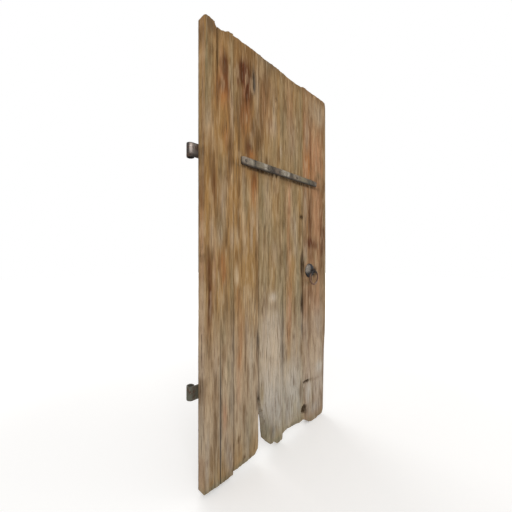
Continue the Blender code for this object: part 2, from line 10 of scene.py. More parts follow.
import bpy
import numpy as np
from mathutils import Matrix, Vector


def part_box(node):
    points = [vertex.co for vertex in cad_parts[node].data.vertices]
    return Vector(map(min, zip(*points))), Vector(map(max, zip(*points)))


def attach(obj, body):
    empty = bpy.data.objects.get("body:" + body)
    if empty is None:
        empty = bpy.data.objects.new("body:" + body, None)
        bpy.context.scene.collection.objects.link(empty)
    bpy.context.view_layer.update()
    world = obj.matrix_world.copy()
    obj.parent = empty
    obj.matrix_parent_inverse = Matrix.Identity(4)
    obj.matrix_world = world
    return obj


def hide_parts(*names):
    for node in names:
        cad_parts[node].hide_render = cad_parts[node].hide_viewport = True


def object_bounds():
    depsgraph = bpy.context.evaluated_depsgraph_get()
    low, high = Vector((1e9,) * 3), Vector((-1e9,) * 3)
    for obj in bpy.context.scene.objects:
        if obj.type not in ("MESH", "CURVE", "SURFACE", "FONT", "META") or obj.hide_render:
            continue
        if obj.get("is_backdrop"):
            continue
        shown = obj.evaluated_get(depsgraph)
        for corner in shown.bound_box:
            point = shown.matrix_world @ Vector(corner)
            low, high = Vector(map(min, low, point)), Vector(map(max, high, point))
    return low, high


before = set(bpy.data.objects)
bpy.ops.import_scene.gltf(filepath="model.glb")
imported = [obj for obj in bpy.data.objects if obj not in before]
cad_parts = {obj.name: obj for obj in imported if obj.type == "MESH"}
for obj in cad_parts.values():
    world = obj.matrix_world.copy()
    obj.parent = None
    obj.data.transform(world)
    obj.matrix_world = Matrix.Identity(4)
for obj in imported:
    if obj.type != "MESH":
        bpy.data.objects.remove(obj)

cad_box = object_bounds()

# %% [markdown]
# ## Where things are
# The leaf is measured as a joiner would: across from the hinge edge, deep from the weathered face, and
# high from the floor. The first plank gives the first two zero points, so a place on the wood reads the
# same here as on the bench.

# %% Zero points
PLANKS = ("plank_1", "plank_2", "plank_3", "plank_4", "plank_5")
HINGE_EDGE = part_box("plank_1")[0].x
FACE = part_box("plank_1")[0].y
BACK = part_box("plank_1")[1].y
LEAF_TOP = max(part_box(plank)[1].z for plank in PLANKS)
LEAF_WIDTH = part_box("plank_5")[1].x - HINGE_EDGE
print(f"leaf {LEAF_WIDTH:.3f} m wide, {LEAF_TOP:.3f} m high, {BACK - FACE:.3f} m thick")

# %% [markdown]
# ## Camera
# The photograph looks at the door from the hinge side, turned 45 degrees and level, from close by: the near
# edge is more than twice as tall as the far one. A short lens near the door gives that steep perspective,
# where a long lens far away would flatten it.

# %% Camera
CAMERA_PLACE = (-1.0029, -0.8895, 0.903)
CAMERA_TURN = math.radians(-45)
CAMERA_LENS = 19.6
CAMERA_SHIFT = 0.0039
FILM_WIDTH = 36

lens = bpy.data.cameras.new("camera")
lens.lens = CAMERA_LENS
lens.sensor_width = FILM_WIDTH
lens.shift_y = CAMERA_SHIFT
camera = bpy.data.objects.new("camera", lens)
camera.location = CAMERA_PLACE
camera.rotation_euler = (math.pi / 2, 0, CAMERA_TURN)
bpy.context.scene.collection.objects.link(camera)
bpy.context.scene.camera = camera
print("camera", CAMERA_PLACE, "lens", CAMERA_LENS)

# %% [markdown]
# ## Room and light
# Soft daylight could come from a dome or from large lamps. Both are used at a plain level: the world gives
# an even fill, and three broad lamps give the wood's relief a little shade. The backdrop is white only for
# the camera and for reflections, so it adds no light to the door.

# %% World
DAYLIGHT = (1.0, 0.985, 0.96)
FILL = 0.62
WHITE = (1, 1, 1)
BACKDROP = 1.0


def fill(tree, node, inputs):
    """Gives each input of a shader node its value, or a link from another node's output."""
    for name, given in inputs.items():
        if isinstance(given, bpy.types.NodeSocket):
            tree.links.new(given, node.inputs[name])
        else:
            node.inputs[name].default_value = given


def add(tree, kind, inputs, **settings):
    """A new shader node with these settings and inputs."""
    made = tree.nodes.new(kind)
    for name, value in settings.items():
        setattr(made, name, value)
    fill(tree, made, inputs)
    return made


def seen_directly(tree):
    """Light Path's camera, glossy and transmission rays, added up: 1 where a ray only looks."""
    path = add(tree, "ShaderNodeLightPath", {})
    total = path.outputs["Is Camera Ray"]
    for other in ("Is Glossy Ray", "Is Transmission Ray"):
        total = add(tree, "ShaderNodeMath", {0: total, 1: path.outputs[other]}, use_clamp=True).outputs[0]
    return total


def background(tree, colour, strength):
    """A Background shader of one colour and strength."""
    return add(tree, "ShaderNodeBackground", {"Color": (*colour, 1), "Strength": strength}).outputs[0]


world = bpy.data.worlds.new("daylight")
bpy.context.scene.world = world
world.use_nodes = True
tree = world.node_tree
tree.nodes.clear()
seen, unseen = background(tree, WHITE, BACKDROP), background(tree, DAYLIGHT, FILL)
pick = add(tree, "ShaderNodeMixShader", {0: seen_directly(tree), 1: unseen, 2: seen})
add(tree, "ShaderNodeOutputWorld", {"Surface": pick.outputs[0]})
bpy.context.scene.view_settings.view_transform = "Standard"
print("world fill", FILL)

# %% Lamps
# Each is a place, a width and a power
LAMPS = {
    "key_lamp": ((-2.6, -3.2, 3.4), 2.6, 62),
    "side_lamp": ((2.4, -2.6, 1.6), 2.0, 14),
    "back_lamp": ((1.2, 3.4, 2.6), 2.6, 48),
}
LAMP_AIM = (0.0, 0.0, 0.9)


def lamp(name, place, size, power):
    """A square area lamp that faces the middle of the door."""
    light = bpy.data.lights.new(name, "AREA")
    light.size = size
    light.energy = power
    made = bpy.data.objects.new(name, light)
    made.location = place
    x, y, z = np.array(place) - np.array(LAMP_AIM)
    made.rotation_euler = (math.acos(z / math.hypot(x, y, z)), 0, math.atan2(y, x) + math.pi / 2)
    bpy.context.scene.collection.objects.link(made)


for name, (place, size, power) in LAMPS.items():
    lamp(name, place, size, power)
print("lamps", list(LAMPS))

# %% Floor
FLOOR_HALF = 14.0
FLOOR_GREY = (0.80, 0.80, 0.80)
FLOOR_LIFT = 0.30
FLOOR_FADE = (1.2, 4.5)


def ranged(tree, source, low, high, to_low=0.0, to_high=1.0):
    """A value from low to high turned into one from to_low to to_high, and held there outside."""
    inputs = {"Value": source, "From Min": low, "From Max": high, "To Min": to_low, "To Max": to_high}
    return add(tree, "ShaderNodeMapRange", inputs, interpolation_type="SMOOTHSTEP").outputs["Result"]


def new_material(name, roughness):
    """A node material, with its node tree and its Principled shader."""
    made = bpy.data.materials.new(name)
    made.use_nodes = True
    shader = made.node_tree.nodes["Principled BSDF"]
    shader.inputs["Roughness"].default_value = roughness
    return made, made.node_tree, shader


floor_mesh = bpy.data.meshes.new("floor")
corners = [(x * FLOOR_HALF, y * FLOOR_HALF, 0) for x, y in ((-1, -1), (1, -1), (1, 1), (-1, 1))]
floor_mesh.from_pydata(corners, [], [(0, 1, 2, 3)])
floor = bpy.data.objects.new("floor", floor_mesh)
bpy.context.scene.collection.objects.link(floor)
paint, tree, shader = new_material("floor_paint", 1.0)
place = add(tree, "ShaderNodeTexCoord", {}).outputs["Object"]
away = add(tree, "ShaderNodeVectorMath", {0: place}, operation="LENGTH").outputs["Value"]
lifted = ranged(tree, away, *FLOOR_FADE, FLOOR_LIFT, 1.0)
glow = add(tree, "ShaderNodeMath", {0: seen_directly(tree), 1: lifted}, operation="MULTIPLY")
fill(tree, shader, {
    "Base Color": (*FLOOR_GREY, 1), "Specular IOR Level": 0.0,
    "Emission Color": (*WHITE, 1), "Emission Strength": glow.outputs[0],
})
floor_mesh.materials.append(paint)
floor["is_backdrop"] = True
print("floor", 2 * FLOOR_HALF, "m square")

# %% [markdown]
# ## Tools for surfaces
# Weathered wood is a solid with a skin that has sunk in some places and stayed in others. A lattice of
# columns, depths and rows suits it: only its outside points are kept, and formulas then push them inwards.
# Sculpting or displacement could do the same, but a formula is exact at the edges and can be read.

# %% A lattice's outside


def lattice(columns, depths, rows):
    """The skin of a box of points: the column, depth and row of each outside point, and the quads between.

    Points are numbered row by row, and each of the six sides is a grid of quads that faces outwards.
    """
    number = np.arange(columns * depths * rows).reshape(columns, depths, rows)
    sides = (
        (number[:, 0, :], False), (number[:, -1, :], True), (number[0, :, :], True),
        (number[-1, :, :], False), (number[:, :, 0], True), (number[:, :, -1], False),
    )
    quads = []
    for grid, turned in sides:
        quad = np.stack([grid[:-1, :-1], grid[1:, :-1], grid[1:, 1:], grid[:-1, 1:]], -1).reshape(-1, 4)
        quads.append(quad[:, ::-1] if turned else quad)
    used, quads = np.unique(np.concatenate(quads), return_inverse=True)
    return np.unravel_index(used, number.shape), quads.reshape(-1, 4)


def skin(name, smooth_angle, points, *faces):
    """A mesh object of points and arrays of faces, smooth except over edges sharper than the angle."""
    mesh = bpy.data.meshes.new(name)
    mesh.from_pydata(points.tolist(), [], [face for part in faces for face in part.tolist()])
    mesh.validate()
    mesh.shade_smooth()
    mesh.set_sharp_from_angle(angle=math.radians(smooth_angle))
    made = bpy.data.objects.new(name, mesh)
    bpy.context.scene.collection.objects.link(made)
    return made


print("a 3 x 3 x 3 lattice has", len(lattice(3, 3, 3)[0][0]), "outside points")

# %% [markdown]
# Nature's roughness comes from one small tool: a table of random heights, read smoothly between its points.
# Stretched one way it gives wood grain, left square it gives hammer marks. The table is seeded, so each run
# gives the same door.

# %% Smooth random hills
TABLE = (97, 101)


def hills(x, y, seed):
    """Random heights from 0 to 1: a seeded table, eased between its points by 3t squared less 2t cubed."""
    table = np.random.default_rng(seed).random(TABLE)
    x, y = np.broadcast_arrays(np.asarray(x, float), np.asarray(y, float))
    left, low = np.floor(x).astype(int), np.floor(y).astype(int)
    s, t = x - left, y - low
    s, t = s * s * (3 - 2 * s), t * t * (3 - 2 * t)
    here, right = left % TABLE[0], (left + 1) % TABLE[0]
    near, far = low % TABLE[1], (low + 1) % TABLE[1]
    lower = table[here, near] * (1 - s) + table[right, near] * s
    upper = table[here, far] * (1 - s) + table[right, far] * s
    return lower * (1 - t) + upper * t


def ease(value):
    """0 below 0, 1 above 1, and a smooth S between."""
    value = np.clip(value, 0, 1)
    return value * value * (3 - 2 * value)


print("hills", hills([0.5, 1.5], [0.5, 2.5], 1).round(3))

# %% [markdown]
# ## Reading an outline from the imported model
# The planks' worn ends and edges are real forms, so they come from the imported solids. A plane through a
# plank cuts its triangles into short lines, and the lowest, highest, leftmost and rightmost of those lines
# give its foot, top and two long edges.

# %% Slice a solid
# The cut lies at this share of the thickness, an edge ends where it turns steeper than STEEP, and the edges
# and ends are read at these steps
SLICE = 0.75
STEEP = 1.5
EDGE_STEP = 0.002
END_STEP = 0.00025


def slice_at(node, deep):
    """The short (x, z) lines where a node's triangles cross the plane at this Y."""
    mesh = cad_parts[node].data
    mesh.calc_loop_triangles()
    place = np.array([vertex.co for vertex in mesh.vertices])
    start = place[np.array([triangle.vertices for triangle in mesh.loop_triangles])]
    end = start[:, [1, 2, 0]]
    before, after = start[..., 1] - deep, end[..., 1] - deep
    crossed = before * after < 0
    share = before / np.where(crossed, before - after, 1)
    point = start + share[..., None] * (end - start)
    cut = crossed.sum(1) == 2
    return point[cut][crossed[cut]].reshape(-1, 2, 3)[..., [0, 2]]


def reach(lines, along, places, pick):
    """The lowest or highest crossing of the lines at each place along one axis."""
    start, end = lines[:, 0], lines[:, 1]
    span = end[:, along] - start[:, along]
    share = (places[:, None] - start[:, along]) / np.where(span == 0, np.inf, span)
    value = start[:, 1 - along] + share * (end - start)[:, 1 - along]
    hit = (share >= 0) & (share <= 1) & (span != 0)
    found = pick(np.where(hit, value, np.inf if pick is np.min else -np.inf), axis=1)
    good = np.isfinite(found)
    return np.interp(places, places[good], found[good])


def steady(places, edge):
    """The stretch round the middle where an edge runs more along than across."""
    turns = np.abs(np.diff(edge)) > STEEP * np.diff(places)
    middle = len(places) // 2
    below, above = np.flatnonzero(turns[:middle]), np.flatnonzero(turns[middle:])
    first = below[-1] + 1 if below.size else 0
    last = middle + above[0] if above.size else len(places) - 1
    return places[first:last + 1], edge[first:last + 1]


def outline(node):
    """A node's foot and top as functions of x, and its left and right edge as functions of z."""
    low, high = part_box(node)
    lines = slice_at(node, low.y + SLICE * (high.y - low.y))
    heights = np.arange(low.z + 2 * END_STEP, high.z, EDGE_STEP)
    left = steady(heights, reach(lines, 1, heights, np.min))
    right = steady(heights, reach(lines, 1, heights, np.max))
    across = np.arange(min(left[1][0], left[1][-1]), max(right[1][0], right[1][-1]), END_STEP)
    foot = (across, reach(lines, 0, across, np.min))
    top = (across, reach(lines, 0, across, np.max))
    return {"foot": foot, "top": top, "left": left, "right": right}


for plank in PLANKS:
    form = outline(plank)
    print(plank, "foot", form["foot"][1].min().round(4), "top", form["top"][1].max().round(4))

# %% [markdown]
# ## The planks' shape
# Each plank is a tree's length of grain that the weather has eaten from the front. Its summer wood is soft
# and sinks into furrows, the winter wood stands as ridges, long checks open along it, knots stay proud, and
# the arrises and feet wear round. All of this is one depth, worked out for every point of the face.

# %% Marks on the wood
# Each is a plank, then a place across it and a height, all in metres
KNOTS = (
    (0, 0.106, 0.436, 0.011), (1, 0.016, 0.826, 0.012), (2, 0.118, 1.650, 0.007), (0, 0.082, 1.000, 0.008),
    (2, 0.040, 1.060, 0.007), (3, 0.090, 0.515, 0.009), (2, 0.098, 0.556, 0.006), (4, 0.150, 1.220, 0.010),
)
CHECKS = (
    (0, 0.022, 0.620, 1.060, 0.0016), (0, 0.0770, 0.420, 0.640, 0.0016), (0, 0.048, 1.050, 1.330, 0.0010),
    (0, 0.060, 1.480, 1.680, 0.0024), (1, 0.0050, 0.020, 0.400, 0.0012), (1, 0.060, 0.060, 0.300, 0.0012),
    (1, 0.046, 1.540, 1.740, 0.0018), (1, 0.074, 1.500, 1.700, 0.0014), (1, 0.100, 0.900, 1.260, 0.0008),
    (2, 0.118, 0.060, 0.360, 0.0010), (2, 0.070, 0.900, 1.240, 0.0010), (2, 0.150, 0.700, 1.000, 0.0012),
    (2, 0.035, 1.360, 1.760, 0.0010), (3, 0.018, 0.420, 0.800, 0.0014), (3, 0.060, 1.000, 1.260, 0.0012),
    (3, 0.128, 1.340, 1.560, 0.0012), (3, 0.100, 0.060, 0.240, 0.0010), (4, 0.072, 1.060, 1.700, 0.0014),
    (4, 0.052, 0.930, 1.200, 0.0014), (4, 0.120, 0.340, 0.640, 0.0010), (4, 0.180, 0.700, 1.100, 0.0010),
    (4, 0.092, 0.030, 0.230, 0.0014),
)
KNOCKS = (
    (4, 0.022, 0.240, 0.026, 0.024, 0.0050), (4, 0.010, 0.098, 0.027, 0.020, 0.024),
    (1, 0.116, 1.680, 0.0040, 0.012, 0.047), (1, 0.147, 0.271, 0.010, 0.016, 0.012),
    (4, -0.014, 1.125, 0.006, 0.007, 0.006), (1, 0.062, 0.052, 0.008, 0.008, 0.010),
    (1, 0.026, 0.140, 0.005, 0.006, 0.006), (2, 0.118, 1.646, 0.004, 0.006, 0.006),
)
SPLITS = {"plank_1": (0.0600, 0.0770)}
SPLIT_COLUMNS = np.array([-0.0023, -0.0014, -0.0005, 0.0005, 0.0014, 0.0023])
STARTS = [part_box(plank)[0].x - HINGE_EDGE for plank in PLANKS]
print(len(KNOTS), "knots,", len(CHECKS), "checks,", len(KNOCKS), "knocks")

# %% Depth of the worn face
BASE_WEAR = 0.0009
FURROW = 0.0012
ARRIS = 0.0008
CHECK_DEPTH = 0.0045
CHECK_FADE = 0.05
KNOT_RISE = 0.0011
FOOT_WEAR = 0.0045


def sway(across, high):
    """How far the grain leans from straight: slow hills, and a push aside round each knot."""
    lean = 0.012 * (hills(high * 1.3, across * 4, 11) - 0.5)
    lean = lean + 0.004 * (hills(high * 5, across * 9, 12) - 0.5)
    for plank, place, height, radius in KNOTS:
        aside = across - STARTS[plank] - place
        along = high - height
        lean = lean - 0.8 * aside * np.exp(-((aside / (2.2 * radius)) ** 2) - (along / (5 * radius)) ** 2)
    return lean


def worn_depth(plank, across, high, edge, end):
    """How far the face has sunk: furrows, checks, round arrises and a thin foot, less the knots.

    Furrows are stretched hills along the swaying grain. A check is a V as deep as its width allows, fading
    at both ends. The arris is a quarter circle in the distance to the edge.
    """
    grain = across + sway(across, high)
    depth = BASE_WEAR + FURROW * (hills(grain * 190, high * 2.2, 21) - 0.5)
    depth = depth + 0.8 * FURROW * (hills(grain * 70, high * 1.1, 22) - 0.5)
    for number, (at, place, low, top, width) in enumerate(CHECKS):
        if at == plank:
            aside = grain - sway(STARTS[at] + place, high) - STARTS[at] - place
            aside = aside + 0.0012 * (hills(high * 14, number, 23) - 0.5)
            fade = ease((high - low) / CHECK_FADE) * ease((top - high) / CHECK_FADE)
            depth = depth + CHECK_DEPTH * fade * np.clip(1 - np.abs(aside) / width, 0, 1)
    for at, place, height, radius in KNOTS:
        near = ((across - STARTS[at] - place) / radius) ** 2 + ((high - height) / (1.3 * radius)) ** 2
        depth = depth - KNOT_RISE * np.exp(-near)
    arris = ARRIS * (0.5 + 1.5 * hills(high * 18, plank * 3.7, 24))
    depth = depth + arris * (1 - np.sqrt(1 - (1 - np.clip(edge / arris, 0, 1)) ** 2))
    depth = depth + FOOT_WEAR * np.exp(-end / 0.016) * (0.3 + 0.7 * hills(across * 60, plank, 25))
    return np.clip(depth, 0.0001, None)


def knocked_depth(across, high):
    """How deep the knocks reach: for each, part of a squashed ball centred on the face."""
    depth = np.zeros_like(across)
    for at, place, height, wide, deep, tall in KNOCKS:
        inside = 1 - ((across - STARTS[at] - place) / wide) ** 2 - ((high - height) / tall) ** 2
        ragged = 1 + 0.25 * (hills(across * 400, high * 300, 26) - 0.5)
        depth = np.maximum(depth, deep * ragged * np.sqrt(np.clip(inside, 0, None)))
    return depth


print("furrows", FURROW * 1000, "mm, checks", CHECK_DEPTH * 1000, "mm")

# %% [markdown]
# ## The wood's colour
# Bare wood left outside turns silver-grey where rain reaches it, keeps its honey and red-brown where it
# stays dry, and goes dark along joints and checks. A texture can't know where those places are on this
# door, so a list of stains says so, each a soft patch stretched along the grain, and the material's own
# grain is laid over them. The last few of the list are painted shadow under the strap and round the ring
# pull, partly rust stain.

# %% Colours and stains
HONEY = (0.420, 0.262, 0.116)
TAN = (0.400, 0.292, 0.158)
PINKISH = (0.430, 0.252, 0.135)
SALMON = (0.540, 0.310, 0.185)
REDBROWN = (0.130, 0.042, 0.016)
BROWN = (0.185, 0.105, 0.046)
ORANGE = (0.450, 0.210, 0.080)
AMBER = (0.430, 0.262, 0.105)
GREENGREY = (0.285, 0.236, 0.143)
BLEACHED = (0.640, 0.540, 0.425)
PINKGREY = (0.460, 0.365, 0.278)
CREAM = (0.720, 0.560, 0.375)
SLATE = (0.150, 0.135, 0.120)
DIRT = (0.058, 0.034, 0.016)
SHELTERED = (0.230, 0.150, 0.080)
PLANK_TONES = (HONEY, HONEY, TAN, TAN, PINKISH)

# Each is a colour, its strength, its middle across the leaf and high, then half its width and height, in
# millimetres. They are laid one over another in this order
SIDE_STAINS = (
    (PINKISH, 0.8, -26, 1730, 20, 100), (AMBER, 0.9, -21, 1340, 7, 420), (TAN, 0.8, -35, 1100, 8, 700),
    (PINKGREY, 0.5, -10, 1100, 6, 500), (ORANGE, 0.5, -20, 1080, 10, 80), (SALMON, 0.4, -18, 820, 12, 300),
    (PINKGREY, 0.5, -22, 400, 16, 300), (SALMON, 0.4, -22, 80, 20, 70),
)
FIRST_PLANK_STAINS = (
    (GREENGREY, 0.8, 10, 1620, 6, 200), (SLATE, 0.45, 30, 1795, 18, 24), (BROWN, 0.5, 34, 1790, 16, 30),
    (AMBER, 0.8, 4, 1790, 4, 30), (GREENGREY, 0.5, 34, 1620, 10, 140), (DIRT, 0.8, 59.5, 1660, 4, 70),
    (REDBROWN, 0.6, 64, 1560, 6, 50), (SALMON, 0.9, 79, 1660, 6, 55), (REDBROWN, 1.3, 101, 1645, 13, 55),
    (REDBROWN, 1, 112, 1575, 8, 40), (ORANGE, 0.8, 88, 1535, 26, 70), (BROWN, 0.5, 66, 1480, 10, 60),
    (AMBER, 0.9, 88, 1430, 30, 70), (CREAM, 0.5, 84, 1605, 4, 15), (GREENGREY, 0.9, 134, 1680, 8, 110),
    (PINKGREY, 0.6, 134, 1470, 8, 100), (ORANGE, 0.6, 104, 1385, 14, 45), (BROWN, 1, 124, 1315, 10, 70),
    (AMBER, 0.6, 86, 1335, 10, 40), (BROWN, 0.55, 36, 1250, 15, 85), (REDBROWN, 0.5, 46, 1170, 8, 60),
    (GREENGREY, 0.6, 74, 1260, 8, 60), (BROWN, 0.6, 108, 1220, 10, 40), (AMBER, 0.4, 14, 1080, 6, 130),
    (BROWN, 0.5, 60, 1100, 6, 80), (AMBER, 0.6, 12, 1200, 8, 100), (PINKGREY, 0.6, 88, 1120, 12, 80),
    (GREENGREY, 0.6, 75, 1020, 14, 50), (BROWN, 0.6, 105, 980, 6, 40), (PINKGREY, 0.5, 34, 1000, 8, 60),
    (REDBROWN, 0.7, 22, 870, 11, 65), (REDBROWN, 0.8, 28, 740, 8, 80), (REDBROWN, 0.6, 20, 640, 7, 60),
    (SALMON, 0.5, 48, 840, 6, 100), (ORANGE, 1, 83, 885, 11, 32), (ORANGE, 0.8, 93, 835, 10, 30),
    (BROWN, 0.6, 70, 860, 5, 50), (AMBER, 0.5, 60, 740, 10, 70), (BROWN, 0.5, 104, 720, 10, 60),
    (GREENGREY, 0.6, 134, 780, 8, 120), (GREENGREY, 0.5, 90, 620, 16, 60), (AMBER, 0.5, 30, 520, 12, 100),
    (SLATE, 0.45, 138, 500, 8, 120), (BROWN, 0.6, 92, 520, 8, 30), (CREAM, 1, 106, 436, 8.5, 20),
    (BROWN, 0.6, 86, 445, 5, 30), (GREENGREY, 0.5, 116, 460, 8, 40), (SLATE, 0.8, 76.5, 360, 2.8, 90),
    (SLATE, 0.9, 76.5, 160, 3, 140), (SALMON, 0.7, 98, 270, 10, 55), (SLATE, 0.4, 134, 280, 6, 70),
    (BROWN, 0.6, 56, 320, 10, 100), (BROWN, 0.5, 52, 180, 8, 80), (PINKGREY, 0.7, 14, 140, 8, 100),
    (BROWN, 0.5, 34, 100, 8, 50), (PINKGREY, 0.6, 110, 120, 10, 70), (GREENGREY, 0.8, 60, 20, 70, 12),
    (REDBROWN, 0.6, 90, 1585, 18, 22), (BROWN, 0.6, 136, 1640, 8, 40), (PINKGREY, 0.8, 130, 85, 10, 50),
    (CREAM, 0.4, 134, 1235, 10, 35), (CREAM, 0.45, 104, 1180, 10, 30), (BLEACHED, 0.5, 136, 985, 8, 40),
    (BLEACHED, 0.45, 76, 985, 10, 30), (BLEACHED, 0.35, 20, 1410, 16, 60), (CREAM, 0.3, 45, 955, 18, 30),
    (PINKGREY, 0.45, 40, 500, 18, 70),
)
SECOND_PLANK_STAINS = (
    (BROWN, 0.3, 245, 1740, 80, 50), (BROWN, 0.9, 243, 1640, 12, 100), (REDBROWN, 1.5, 199, 1685, 20, 42),
    (REDBROWN, 1.3, 220, 1645, 15, 72), (SALMON, 0.7, 211, 1645, 3, 30), (REDBROWN, 0.8, 170, 1650, 8, 30),
    (SALMON, 0.7, 202, 1600, 5, 18), (REDBROWN, 0.8, 217, 1545, 16, 62), (REDBROWN, 0.6, 190, 1520, 12, 80),
    (BROWN, 0.5, 165, 1500, 10, 90), (ORANGE, 0.5, 216, 1490, 24, 70), (SLATE, 1, 262, 1675, 10, 48),
    (BLEACHED, 0.8, 284, 1625, 5, 85), (CREAM, 0.45, 252, 1440, 6, 12), (BROWN, 1, 234, 1385, 20, 45),
    (REDBROWN, 0.7, 228, 1370, 14, 30), (ORANGE, 0.6, 250, 1350, 16, 18), (BROWN, 0.6, 276, 1440, 6, 70),
    (BROWN, 0.8, 171, 1330, 6, 130), (AMBER, 0.8, 157, 1320, 10, 130), (BLEACHED, 0.4, 200, 1200, 8, 70),
    (REDBROWN, 0.8, 262, 1235, 13, 50), (ORANGE, 0.5, 262, 1220, 14, 50), (ORANGE, 0.7, 260, 1165, 9, 30),
    (GREENGREY, 0.5, 215, 1140, 16, 80), (AMBER, 0.7, 252, 1020, 14, 90), (BLEACHED, 0.6, 246, 990, 6, 60),
    (BROWN, 0.5, 170, 1060, 6, 100), (AMBER, 0.7, 168, 945, 12, 35), (BROWN, 0.6, 170, 900, 10, 30),
    (BLEACHED, 0.5, 206, 930, 8, 80), (BROWN, 0.9, 273, 900, 8, 60), (CREAM, 0.9, 163, 830, 9, 32),
    (ORANGE, 0.6, 171, 735, 10, 45), (AMBER, 1, 222, 850, 36, 80), (CREAM, 0.4, 242, 715, 28, 50),
    (AMBER, 0.5, 240, 700, 34, 70), (CREAM, 0.3, 255, 685, 12, 30), (BROWN, 0.7, 283, 780, 8, 90),
    (ORANGE, 0.5, 185, 600, 14, 80), (ORANGE, 0.5, 178, 475, 14, 60), (PINKGREY, 0.5, 220, 600, 8, 80),
    (BROWN, 0.6, 210, 500, 4, 90), (BROWN, 0.6, 224, 360, 4, 70), (BLEACHED, 0.4, 246, 460, 14, 100),
    (DIRT, 0.9, 286, 535, 6, 35), (BROWN, 0.7, 284, 460, 6, 50), (DIRT, 0.9, 286, 275, 8, 35),
    (SALMON, 0.5, 172, 360, 10, 60), (BROWN, 0.5, 200, 240, 5, 50), (GREENGREY, 0.5, 240, 160, 18, 80),
    (BROWN, 0.8, 172, 150, 6, 12), (BROWN, 0.8, 203, 58, 7, 12), (PINKGREY, 0.5, 222, 100, 8, 60),
    (GREENGREY, 0.8, 205, 36, 60, 10), (DIRT, 0.45, 281, 1420, 6, 60), (BROWN, 0.9, 258, 1460, 12, 40),
    (BROWN, 0.6, 284, 1535, 8, 35), (BROWN, 0.5, 164, 1685, 10, 35), (DIRT, 0.5, 284, 535, 8, 45),
    (CREAM, 0.5, 196, 1060, 10, 50), (BLEACHED, 0.45, 284, 1060, 8, 80), (CREAM, 0.45, 164, 985, 8, 30),
    (BLEACHED, 0.35, 256, 1080, 10, 40),
)
THIRD_PLANK_STAINS = (
    (SLATE, 0.6, 345, 1805, 45, 14), (BROWN, 0.7, 316, 1655, 24, 120), (GREENGREY, 0.5, 345, 1770, 30, 30),
    (BLEACHED, 0.5, 395, 1580, 7, 80), (BROWN, 0.5, 408, 1680, 10, 50), (DIRT, 0.6, 410, 1660, 5, 6),
    (PINKGREY, 0.7, 382, 1515, 26, 30), (BROWN, 0.65, 305, 1470, 16, 90),
    (PINKISH, 0.5, 345, 1620, 40, 120), (BROWN, 0.6, 427, 1395, 9, 30), (BLEACHED, 0.5, 446, 1420, 7, 30),
    (GREENGREY, 0.6, 452, 1570, 10, 60), (BLEACHED, 0.35, 350, 1170, 20, 100),
    (GREENGREY, 0.6, 310, 1130, 14, 120), (BROWN, 0.4, 425, 1190, 7, 70),
    (GREENGREY, 0.5, 372, 1020, 22, 70), (BROWN, 0.4, 330, 970, 14, 40), (BROWN, 0.5, 440, 940, 6, 100),
    (PINKGREY, 0.4, 400, 930, 22, 50), (BLEACHED, 0.8, 385, 718, 22, 20), (BROWN, 0.4, 380, 672, 34, 16),
    (GREENGREY, 0.4, 345, 800, 20, 50), (BLEACHED, 0.9, 370, 560, 50, 100),
    (BLEACHED, 1, 385, 420, 60, 120), (CREAM, 0.3, 394, 460, 20, 100), (BLEACHED, 0.9, 375, 280, 60, 100),
    (PINKGREY, 0.6, 400, 180, 40, 70), (GREENGREY, 0.5, 350, 100, 16, 40), (SLATE, 0.7, 392, 80, 10, 25),
    (BROWN, 0.5, 372, 92, 8, 20), (SLATE, 0.55, 456, 500, 12, 130), (GREENGREY, 0.6, 450, 720, 8, 90),
    (PINKGREY, 0.5, 330, 600, 10, 120), (GREENGREY, 0.7, 425, 30, 30, 12), (BROWN, 0.6, 346, 1690, 16, 70),
    (BROWN, 0.6, 345, 1345, 20, 20), (BROWN, 0.6, 405, 1235, 10, 35), (BROWN, 0.45, 325, 690, 22, 50),
    (BLEACHED, 0.6, 432, 535, 10, 60), (BLEACHED, 0.6, 435, 135, 12, 50), (TAN, 0.6, 313, 285, 10, 50),
)
